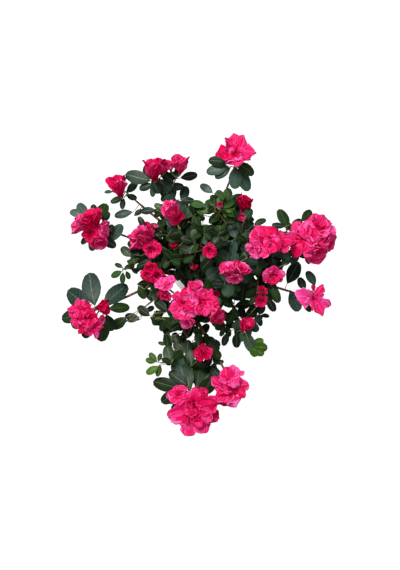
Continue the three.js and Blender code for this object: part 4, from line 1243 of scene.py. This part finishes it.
def twig_rings(shoot):
    """The rings of a shoot, with a slight swelling at each leaf joint."""
    way = np.linspace(0, 1, TWIG_STEPS)
    wide, thin = TWIG_RADII.get(shoot["kind"], THIN_RADII)
    radius = blend(wide, thin, way) * (1 + JOINT_SWELL * np.sin(way * 29 + shoot["turn"]))
    return rings_round(shoot["curve"], blend(shoot["first"], 1, way), radius[:, None], TWIG_SIDES)


def stalk_rings(bloom):
    """A thin stalk from a shoot's tip to a bloom, widening to the cup that holds the petals."""
    length = np.linalg.norm(bloom["foot"] - bloom["root"])
    end = bloom["foot"] + bloom["axis"] * STALK_INTO_BLOOM
    curve = bent_curve(bloom["root"], unit(bloom["axis"] + UP), end, bloom["axis"], STALK_BEND)
    way = np.linspace(0, 1, STALK_STEPS)
    radius = STALK_RADIUS + (CALYX_RADIUS - STALK_RADIUS) * way ** max(4, length / 4)
    return rings_round(curve, way, radius[:, None], TWIG_SIDES)


def tube_mesh(name, rings, materials, zones=None):
    """Many tubes as one mesh, each closed on the middle of its first and its last ring."""
    return skin_mesh(name, rings, rings[:, 0].mean(1), rings[:, -1].mean(1), materials, zones)


twig_brown = finish("twig_brown", (104, 70, 50), (84, 50, 38), 0.6, grain=160.0, relief=(900.0, 0.0003, 0.4))
twig_green, twig_pale = (
    finish(name, first, second, 0.5, grain=160.0, relief=(900.0, 0.0003, 0.3))
    for name, first, second in (("twig_green", (124, 124, 68), (94, 92, 46)),
                                ("twig_pale", (160, 164, 124), (128, 132, 92))))
short = np.array([shoot["kind"] == "stub" for shoot in shoots])
bare = np.array([shoot["kind"] == "leader" and shoot["row"]["tone"] == DEEP for shoot in shoots])
zones = np.zeros((len(shoots), TWIG_STEPS + 1, TWIG_SIDES), int)
zones[:, TWIG_STEPS * 2 // 3:] = 1
zones[short] = 1
zones[bare, TWIG_STEPS // 3:] = 2
rings = np.array([twig_rings(shoot) for shoot in shoots])
add_piece(tube_mesh("twigs", rings, [twig_brown, twig_green, twig_pale], zones), "bark", *FOLIAGE_NODES)
rings = np.array([stalk_rings(bloom) for bloom in blooms])
add_piece(tube_mesh("stalks", rings, [twig_green]), "leaf", *FOLIAGE_NODES)

# %% [markdown]
# A leaf's surface. Along it, from root to tip, runs u; across it, from edge to edge, runs v. The
# half-width is a sine raised to a power that falls from root to tip, which gives a wedge at the foot
# and a blunt end. Both halves are a little arched, the midrib is sunk between them and the tip bends
# down. The narrow strip over the midrib is a face of its own with a paler finish.

# %% Leaf skins
LEAF_U = np.array([0.04, 0.14, 0.3, 0.48, 0.66, 0.82, 0.94])
RIB_HALF = 0.06
LEAF_V = np.array([1.0, 0.55, RIB_HALF, -RIB_HALF, -0.55, -1.0])
UNDER_V = np.array([-0.5, 0.5])
LEAF_THICK = 0.008
LEAF_WIDTHS = (0.47, 0.61)
LEAF_DROOPS = (0.04, 0.16)
LEAF_ARCH = 0.07
RIB_SUNK = 0.05
LEAF_ROLL = 14
LEAF_SWAY = 0.12
LEAF_RIMS = (0, len(LEAF_V) - 1)
ring_v = np.concatenate([LEAF_V, UNDER_V])
ring_over = np.concatenate([np.sqrt(1 - LEAF_V**2), -np.sqrt(1 - UNDER_V**2)])


def leaf_skins(batch, rng):
    """Rings, feet and tips of a batch of leaves. Half-width = size x width / 2 x
    sin(pi u^1.12)^(0.9 - 0.5 u). Height = arch (1 - v^2) - rib near v = 0 - droop u^2."""
    n = len(batch)
    root, way, face = (np.array([leaf[key] for leaf in batch]) for key in ("root", "way", "face"))
    size = np.array([leaf["size"] for leaf in batch])[:, None, None]
    roll = np.radians(LEAF_ROLL) * (rng.random((n, 1)) * 2 - 1)
    side = np.cross(face, way)
    face, side = face * np.cos(roll) + side * np.sin(roll), side * np.cos(roll) - face * np.sin(roll)
    wide = np.array([leaf.get("wide", 0) for leaf in batch])[:, None, None]
    width = np.where(wide > 0, wide, blend(*LEAF_WIDTHS, rng.random((n, 1, 1))))
    droop = blend(*LEAF_DROOPS, rng.random((n, 1, 1)))
    sway = LEAF_SWAY * (rng.random((n, 1, 1)) - 0.5)
    u, v = LEAF_U[None, :, None], ring_v[None, None, :]
    half = size * width / 2 * np.sin(np.pi * u**1.12) ** (0.9 - 0.5 * u)
    arch = LEAF_ARCH * half * (1 - v**2) - RIB_SUNK * half * np.exp(-((v / 0.2) ** 2))
    over = arch - droop * size * u**2 + ring_over * LEAF_THICK * size * (1 - 0.5 * u)
    across = v * half + sway * size * u**2
    place = root[:, None, None] + way[:, None, None] * (u * size)[..., None]
    rings = place + side[:, None, None] * across[..., None] + face[:, None, None] * over[..., None]
    size, droop, sway = size[:, 0], droop[:, 0], sway[:, 0]
    tips = root + way * size + side * sway * size - face * droop * size
    return rings, root, tips


def numbered_uv(n, along, across):
    """Each skin's U is its own number plus its place across, 0 to 1. V is its place along."""
    u = np.arange(n)[:, None, None] + across[None, None, :] * 0.49 + 0.5
    v = np.broadcast_to(along[None, :, None], (n, len(along), len(across)))
    return np.stack([np.broadcast_to(u, v.shape), v], -1)


print("faces of a leaf:", (len(LEAF_U) + 1) * len(ring_v))

# %% [markdown]
# Leaves come in four tones: old and grey-green with a dull shine, deep green, mid green, and fresh.
# The old tone's grey-green is partly the colour of old leaves and partly a painted sheen. Each tone has
# three shades, which neighbouring leaves draw by chance, so that single leaves stand out from each
# other as they do on the plant. The leaves of a shoot share its tone, which is its bough's, or deep
# green, a painted shade without the sheen, for many shoots in the crown's middle. A sprig draws its
# own, and a low one, which lies in shade, is never old. Edge leaves with a tone of their own keep it,
# and some others are deep green among old ones.

# %% Leaf finishes
LEAF_SHADES = ((0.6, 0), (0.9, 0), (1.12, 4))
LEAF_TONES = dict(
    # The old tone's lighter grey-green is partly the colour of old leaves and partly a painted sheen.
    old_sheen=[(50, 74, 59), (34, 55, 43), (70, 94, 74), (52, 74, 56)],
    deep=[(31, 52, 20), (15, 34, 8), (58, 82, 40), (42, 64, 28)],
    mid=[(44, 74, 26), (27, 54, 13), (78, 108, 48), (58, 88, 34)],
    fresh=[(66, 100, 28), (44, 76, 17), (116, 148, 58), (92, 126, 42)],
)
under_leaf = finish("leaf_under", (70, 92, 66), (56, 78, 54), 0.6, relief=(500.0, 0.0003, 0.3))


def leaf_finishes(tone):
    """The shades of a tone, each with veins and a painted rim highlight a little lighter than the blade,
    then the midrib's and the underside's finish."""
    first, second, *rib = LEAF_TONES[tone]
    made = []
    for number, (shade, bloom) in enumerate(LEAF_SHADES):
        colours = [np.array(colour) * shade + bloom for colour in (first, second)]
        made.append(finish(f"leaf_{tone}_{number}", *colours, 0.42, grain=60.0, relief=(500.0, 0.0003, 0.35),
                           lines=(VEINS_AND_RIM_HIGHLIGHT, colours[0] * 1.25 + 8), Coat_Weight=0.04, Coat_Roughness=0.25,
                           Specular_IOR_Level=0.1))
    return [*made, finish(f"rib_{tone}", *rib, 0.5, relief=(500.0, 0.0002, 0.2)), under_leaf]


def leaf_zones(shades):
    """Material numbers of a leaf's faces: first the blade's shades, then the strip over its midrib,
    then underneath."""
    top = len(LEAF_V) - 1
    midrib, underneath = len(LEAF_SHADES), len(LEAF_SHADES) + 1
    zones = np.full((len(shades), len(LEAF_U) + 1, len(ring_v)), underneath)
    zones[:, :, :top] = shades[:, None, None]
    zones[:, :-1, top // 2] = midrib
    return zones


print("tones of leaf:", ", ".join(LEAF_TONES))

# %% Deal the leaves out by tone
# Below this height a sprig lies in shade and never gets the old tone's painted sheen.
LOW_SHOOT = 235
SPRIG_MID_SHARE = 0.24
SPRIG_MID_MORE = 0.2
SPRIG_GREEN_SHARE = 0.86
CORE_DEEP_SHARE = 0.55
EDGE_DEEP_SHARE = 0.22
leaf_chance = chance_from(SEED + 5)


def tone_of(shoot):
    """The tone of a shoot's leaves."""
    draw = leaf_chance()
    row_tone = shoot["row"]["tone"]
    end = point_on(shoot["curve"], 1)
    if shoot["kind"] == "sprig":
        if draw < SPRIG_MID_SHARE + SPRIG_MID_MORE * row_tone:
            return MID
        # A low sprig lies in shade, so here it is deep green and never gets the old tone's painted sheen.
        return DEEP if draw < SPRIG_GREEN_SHARE or end[2] < LOW_SHOOT else OLD_SHEEN
    # Many shoots in the crown's middle are deep green: painted shade there, without the painted sheen.
    return max(row_tone, DEEP) if in_core(end) and draw < CORE_DEEP_SHARE else row_tone


for leaf in leaves:
    shoot = leaf["shoot"]
    if "tone" not in shoot:
        shoot["tone"] = tone_of(shoot)
    leaf["tone"] = shoot["tone"]
    if leaf.get("given") is not None:
        leaf["tone"] = leaf["given"]
    elif leaf.get("edge") and leaf_chance() < EDGE_DEEP_SHARE:
        leaf["tone"] = max(leaf["tone"], DEEP)
for number, tone in enumerate(LEAF_TONES):
    batch = [leaf for leaf in leaves if leaf["tone"] == number]
    rng = np.random.default_rng(SEED + number)
    rings, feet, tips = leaf_skins(batch, rng)
    # A large leaf, which has a width of its own, is never of the darkest shade.
    shades = rng.integers([1 if leaf.get("wide") else 0 for leaf in batch], len(LEAF_SHADES))
    uv = numbered_uv(len(batch), LEAF_U, ring_v)
    mesh = skin_mesh(f"leaves_{tone}", rings, feet, tips, leaf_finishes(tone), leaf_zones(shades), uv,
                     LEAF_RIMS)
    add_piece(mesh, "leaf", *FOLIAGE_NODES)

# %% [markdown]
# Blooms. A double azalea bloom is a funnel of five broad outer petals, five more over the gaps, and
# smaller ruffled ones inside. A petal leaves the funnel steeply and bends outwards, so its middle line
# is an arc whose slope grows from root to tip. It is pleated along its length, its edge waves more the
# further out it goes, and its end is uneven. Each petal draws its own waves, twist and bend. A kind of
# bloom is a run of whorls of petals. Each whorl: how many, their length as a share, opening in degrees,
# width as a share of their length, and how pointed they are, from 0.5 (blunt) to 1.3. A last number,
# where there is one, is how many of them are still there.

# %% Kinds of bloom
KINDS = dict(
    full=[(6, 1.0, 70, 0.8, 0.55), (6, 0.88, 56, 0.68, 0.65), (7, 0.7, 41, 0.52, 0.8),
          (8, 0.52, 24, 0.4, 0.8)],
    open=[(6, 1.08, 72, 0.66, 0.7), (6, 0.86, 58, 0.6, 0.8), (7, 0.62, 40, 0.48, 0.9),
          (7, 0.44, 22, 0.38, 0.9)],
    star=[(4, 1.14, 68, 0.8, 1.3), (8, 0.94, 60, 0.5, 1.2), (9, 0.72, 44, 0.4, 1.0),
          (9, 0.5, 24, 0.34, 0.9)],
    half=[(5, 1.0, 32, 0.9, 0.5), (5, 0.92, 23, 0.78, 0.55), (5, 0.84, 12, 0.6, 0.6)],
    cup=[(5, 1.0, 26, 0.86, 0.45), (5, 0.8, 17, 0.6, 0.5), (4, 0.62, 9, 0.5, 0.6)],
    tulip=[(5, 1.0, 15, 0.74, 0.6), (5, 0.86, 9, 0.6, 0.7), (5, 0.72, 5, 0.46, 0.8)],
    lobed=[(6, 1.0, 70, 0.5, 0.75), (6, 0.72, 50, 0.42, 0.9), (6, 0.5, 26, 0.34, 0.9)],
    loose=[(5, 1.0, 70, 0.42, 0.8, 3), (5, 0.62, 46, 0.4, 0.9), (5, 0.46, 22, 0.32, 0.9)],
    petal=[(1, 1.0, 62, 0.76, 0.5)],
    broad=[(1, 1.0, 62, 1.0, 0.5)],
    bud=[(5, 1.0, 10, 0.55, 0.6), (3, 0.9, 5, 0.45, 0.6)],
)
KIND_CURL = dict(full=30, open=34, star=26, half=26, cup=14, tulip=16, lobed=50, loose=70, petal=20,
                 broad=10, bud=-40)
KIND_RUFFLE = dict(full=1.0, open=1.1, star=1.2, half=0.8, cup=0.45, tulip=0.9, lobed=1.1, loose=1.2,
                   petal=0.8, broad=0.9, bud=0.15)
PETAL_STRAY = 30
LENGTH_SPREAD = 0.24
OPENING_SHARE_SPREAD = 0.3
WIDTH_SPREAD = 0.3
PETAL_U = np.array([0.07, 0.19, 0.31, 0.43, 0.54, 0.64, 0.74, 0.82, 0.89, 0.945, 0.98])
PETAL_V = np.array([1.0, 0.82, 0.58, 0.3, 0.0, -0.3, -0.58, -0.82, -1.0])
PETAL_THICK = 0.006
PETAL_START = 14
SLOPE_LIMITS = (-40, 130)
PETAL_PLEAT = 0.016
WHORL_SHIFT = 37
FUNNEL_RADIUS = 1.3
petal_v = np.concatenate([PETAL_V, PETAL_V[-2:0:-1]])
petal_over = np.concatenate([np.sqrt(1 - PETAL_V**2), -np.sqrt(1 - PETAL_V[-2:0:-1] ** 2)])
PETAL_RIMS = (len(PETAL_V) - 2, len(petal_v) - 1)


def petals_of(bloom):
    """All petals of a bloom as rows: angle, length, opening, width, point, curl, ruffle, whorl."""
    chance = chance_from(bloom["seed"])
    curl, ruffle = KIND_CURL[bloom["kind"]], KIND_RUFFLE[bloom["kind"]]
    rows = []
    for number, (count, length, opening, width, point, *left) in enumerate(KINDS[bloom["kind"]]):
        for k in range(*left or [count]):
            stray = PETAL_STRAY * ruffle * (chance() - 0.5)
            rows.append((bloom["turn"] + number * WHORL_SHIFT + k * 360 / count + stray,
                         bloom["petal"] * length * (1 + LENGTH_SPREAD * (chance() - 0.5)),
                         opening * (1 + OPENING_SHARE_SPREAD * (chance() - 0.5)),
                         width * (1 + WIDTH_SPREAD * (chance() - 0.5)), point,
                         curl * (0.3 + 1.2 * chance()), ruffle * min(1.1, 0.65 + 0.2 * number), number))
    return rows


every_petal = [(petal, bloom) for bloom in blooms for petal in petals_of(bloom)]
print("petals:", len(every_petal))

# %% Petal skins
FINE_STEPS = 81
WHOLE_TURN = 6.28
SCALLOP = 0.24
WAVE_HEIGHT = 0.11
FRILL_HEIGHT = 0.06
MOST_TWIST = 1.1
MOST_LEAN = 0.34
END_UNEVEN = 0.08


def petal_lines(rows, axes):
    """The middle lines of petals: which way each goes out, and at every ring its slope, reach and
    rise. The slope from the axis grows from a start angle to the opening, then curls past it."""
    angle, _, opening, _, _, curl, _, _ = rows.T[..., None]
    first = unit(EAST - (axes @ EAST)[:, None] * axes)
    out = first * np.cos(np.radians(angle)) + np.cross(axes, first) * np.sin(np.radians(angle))
    fine = np.linspace(0, 1, FINE_STEPS)
    slope = PETAL_START + (opening - PETAL_START) * np.clip(fine * 2, 0, 1) + curl * fine**3
    slope = np.radians(np.clip(slope, *SLOPE_LIMITS))
    reach, lift = (np.cumsum(part, 1) / FINE_STEPS for part in (np.sin(slope), np.cos(slope)))
    return out, slope, reach, lift


def petal_skins(rows, middles, axes, rng):
    """Rings, feet and tips of petals. Half-width = size x width / 2 x sin(pi u^1.6)^point. The height
    over the middle line is the sum of waves and a frill at the edge, pleats and a hollow."""
    out, slope, reach, lift = petal_lines(rows, axes)
    side = np.cross(axes, out)
    _, length, _, width, point, _, ruffle, _ = rows.T
    pick = (PETAL_U * (FINE_STEPS - 1)).astype(int)
    tilt = slope[:, pick, None]
    u, v = PETAL_U[None, :, None], petal_v[None, None, :]
    draw = rng.random((9, len(rows), 1, 1))
    size, ruffle = length[:, None, None], ruffle[:, None, None]
    phase = draw[0] * WHOLE_TURN
    scallop = 1 + SCALLOP * ruffle * np.sin(13 * u + phase + 2 * np.sign(v)) * v**2
    half = size * width[:, None, None] / 2 * np.sin(np.pi * u**1.6) ** point[:, None, None]
    half = np.maximum(half, size * 0.04)
    across = v * half * scallop
    waves = np.sin((1.2 + 1.3 * draw[1]) * np.pi * v + draw[2] * WHOLE_TURN + 3 * u)
    waves = waves * u**1.5 * np.abs(v) ** 1.3
    frill = np.sin(11 * u + draw[3] * WHOLE_TURN + np.sign(v) * draw[4] * 3) * v**2 * u
    pleat = PETAL_PLEAT * np.cos(3 * np.pi * v) * np.sin(np.pi * u)
    hollow = (0.18 - 0.24 * u) * v**2 * (0.4 + draw[5])
    over = size * (ruffle * (WAVE_HEIGHT * waves + FRILL_HEIGHT * frill) + pleat + hollow
                   + petal_over * PETAL_THICK * (1.2 - u))
    twist = (draw[6] - 0.5) * MOST_TWIST * ruffle * u
    across, over = (across * np.cos(twist) - over * np.sin(twist),
                    across * np.sin(twist) + over * np.cos(twist))
    lean = (draw[7] - 0.5) * MOST_LEAN * ruffle
    across = across + lean * size * u**2
    ahead = size * END_UNEVEN * ruffle * u**3 * np.sin((6 + 5 * draw[8]) * v + phase)
    radial = size * reach[:, pick, None] + FUNNEL_RADIUS - over * np.cos(tilt) + ahead * np.sin(tilt)
    rise = size * lift[:, pick, None] + over * np.sin(tilt) + ahead * np.cos(tilt)
    rings = (middles[:, None, None] + out[:, None, None] * radial[..., None]
             + side[:, None, None] * across[..., None] + axes[:, None, None] * rise[..., None])
    size, lean = length[:, None], lean[:, 0]
    tips = (middles + out * (size * reach[:, -1:] + FUNNEL_RADIUS) + axes * size * lift[:, -1:]
            + side * lean * size)
    return rings[:, :, ::-1], middles + out * FUNNEL_RADIUS * 0.8, tips


print("faces of a petal:", (len(PETAL_U) + 1) * len(petal_v))

# %% [markdown]
# Petals are pink in five depths, from claret to pale. Light that has passed through the thin petals
# fills their folds with their own colour, which a faint glow of that colour stands for. A petal is
# darker in its throat and in the inner whorls. Its rim is paler: a painted highlight on the upper side
# of some petals, and painted light that lifts the shade under every petal's rim. So its faces are dealt
# out to the five materials by their place on it.

# %% Petal finishes and zones
PETAL_SHINE = 0.05
PETAL_GLOW = 0.06


def petal_finish(name, first, second, light):
    """A soft, hardly shining finish with a faint glow of its own colour, and lighter streaks and a painted
    rim highlight.
    """
    return finish(name, first, second, 0.55, grain=90.0, relief=(600.0, 0.0002, 0.2), lines=(STREAKS_AND_HIGHLIGHTS, light),
                  Specular_IOR_Level=PETAL_SHINE, Emission_Color=from_screen(*first),
                  Emission_Strength=PETAL_GLOW)


PETALS = [
    petal_finish("petal_claret", (130, 0, 34), (94, 0, 22), (166, 0, 54)),
    petal_finish("petal_crimson", (184, 0, 50), (144, 0, 35), (212, 8, 78)),
    petal_finish("petal_cerise", (212, 0, 70), (176, 0, 52), (230, 36, 110)),
    petal_finish("petal_pink", (224, 12, 96), (196, 0, 72), (240, 80, 150)),
    petal_finish("petal_pale", (238, 66, 150), (218, 36, 122), (250, 136, 194)),
]


def petal_zones(hue, whorl, rng):
    """Material numbers of each petal's faces: darker in the throat, and paler at the rim, which is painted
    light.
    """
    n = len(hue)
    base = hue + 1 - (whorl >= 3) + (rng.random(n) < 0.14) - (rng.random(n) < 0.24 + 0.25 * (whorl >= 2))
    zones = np.repeat(base[:, None, None], len(PETAL_U) + 1, 1) * np.ones((1, 1, len(petal_v)), int)
    zones[:, :3] -= 1
    # A painted highlight: the upper rim faces of some petals are one step paler.
    zones[:, 2:, (PETAL_RIMS[0], PETAL_RIMS[1] - 1)] += (rng.random(n) < 0.25)[:, None, None]
    # Painted light: the underside rim faces of every petal are one step paler, which lifts their shade.
    zones[:, :, (PETAL_RIMS[0] - 1, PETAL_RIMS[1])] += 1
    return np.clip(zones, 0, len(PETALS) - 1)


rows = np.array([petal for petal, _ in every_petal])
middles, axes, hues = (np.array([bloom[key] for _, bloom in every_petal]) for key in ("foot", "axis", "hue"))
petal_rng = np.random.default_rng(SEED)
rings, feet, tips = petal_skins(rows, middles, axes, petal_rng)
zones = petal_zones(hues, rows[:, 7].astype(int), petal_rng)
third = len(rows) // 3 + 1
for number, label in enumerate(("blossom_north", "blossom_middle", "blossom_south")):
    part = slice(number * third, (number + 1) * third)
    uv = numbered_uv(len(rings[part]), PETAL_U, petal_v[::-1])
    mesh = skin_mesh(label, rings[part], feet[part], tips[part], PETALS, zones[part], uv, PETAL_RIMS)
    add_piece(mesh, "blossom", *FOLIAGE_NODES)

# %% [markdown]
# The stage is a plain floor under a soft sky. Both are seen white by the camera, so the gaps in the
# crown are white, but light the plant only a little, so that its inside stays deep. A broad lamp from
# the upper left gives the leaves their dull shine.

# %% Floor, light and view
FLOOR_HALF = 6.0
FLOOR_GREY = (0.12, 0.12, 0.12, 1)
FLOOR_GLOW = 0.2
FLOOR_SEEN = 1.0
SKY_LOW = 0.2
SKY_HIGH = 0.6
SKY_COLOUR = (0.98, 0.99, 1.0, 1)
floor_mesh = bpy.data.meshes.new("floor")
floor_corners = [(x * FLOOR_HALF, y * FLOOR_HALF, 0) for x, y in ((-1, -1), (1, -1), (1, 1), (-1, 1))]
floor_mesh.from_pydata(floor_corners, [], [(0, 1, 2, 3)])
floor = bpy.data.objects.new("floor", floor_mesh)
bpy.context.scene.collection.objects.link(floor)
floor_finish = bpy.data.materials.new("floor")
floor_finish.use_nodes = True
tree = floor_finish.node_tree
seen = add_node(tree, "LightPath").outputs["Is Camera Ray"]
feed(tree, tree.nodes["Principled BSDF"], Base_Color=FLOOR_GREY, Roughness=0.9, Emission_Color=WHITE,
     Emission_Strength=ramp(tree, seen, 0, 1, FLOOR_GLOW, FLOOR_SEEN))
floor_mesh.materials.append(floor_finish)

world = bpy.data.worlds.new("soft sky")
world.use_nodes = True
tree = world.node_tree
way_out = add_node(tree, "TexCoord").outputs["Generated"]
height = add_node(tree, "SeparateXYZ", Vector=way_out).outputs["Z"]
seen = add_node(tree, "LightPath").outputs["Is Camera Ray"]
strength = combine(tree, "MAXIMUM", ramp(tree, height, 0, 1, SKY_LOW, SKY_HIGH), seen)
feed(tree, tree.nodes["Background"], Color=SKY_COLOUR, Strength=strength)
bpy.context.scene.world = world


def add_lamp(name, place, aim, size, power):
    """A square lamp that faces a point, in metres and watts."""
    lamp = bpy.data.lights.new(name, "AREA")
    lamp.size = size
    lamp.energy = power
    holder = bpy.data.objects.new(name, lamp)
    bpy.context.scene.collection.objects.link(holder)
    holder.location = place
    facing = -unit(np.array(aim) - np.array(place))
    tilt = np.arccos(facing[2])
    holder.rotation_euler = (0, tilt, np.arctan2(facing[1], facing[0]))
    return holder


KEY_PLACE = (-0.9, 0.9, 2.4)
KEY_AIM = (0, 0, 0.25)
KEY_SIZE = 0.8
KEY_POWER = 62
add_lamp("key", KEY_PLACE, KEY_AIM, KEY_SIZE, KEY_POWER)
bpy.context.scene.view_settings.view_transform = "Standard"
bpy.context.scene.view_settings.look = "None"
print("stage:", floor.name, "lamp power", KEY_POWER, "watts")
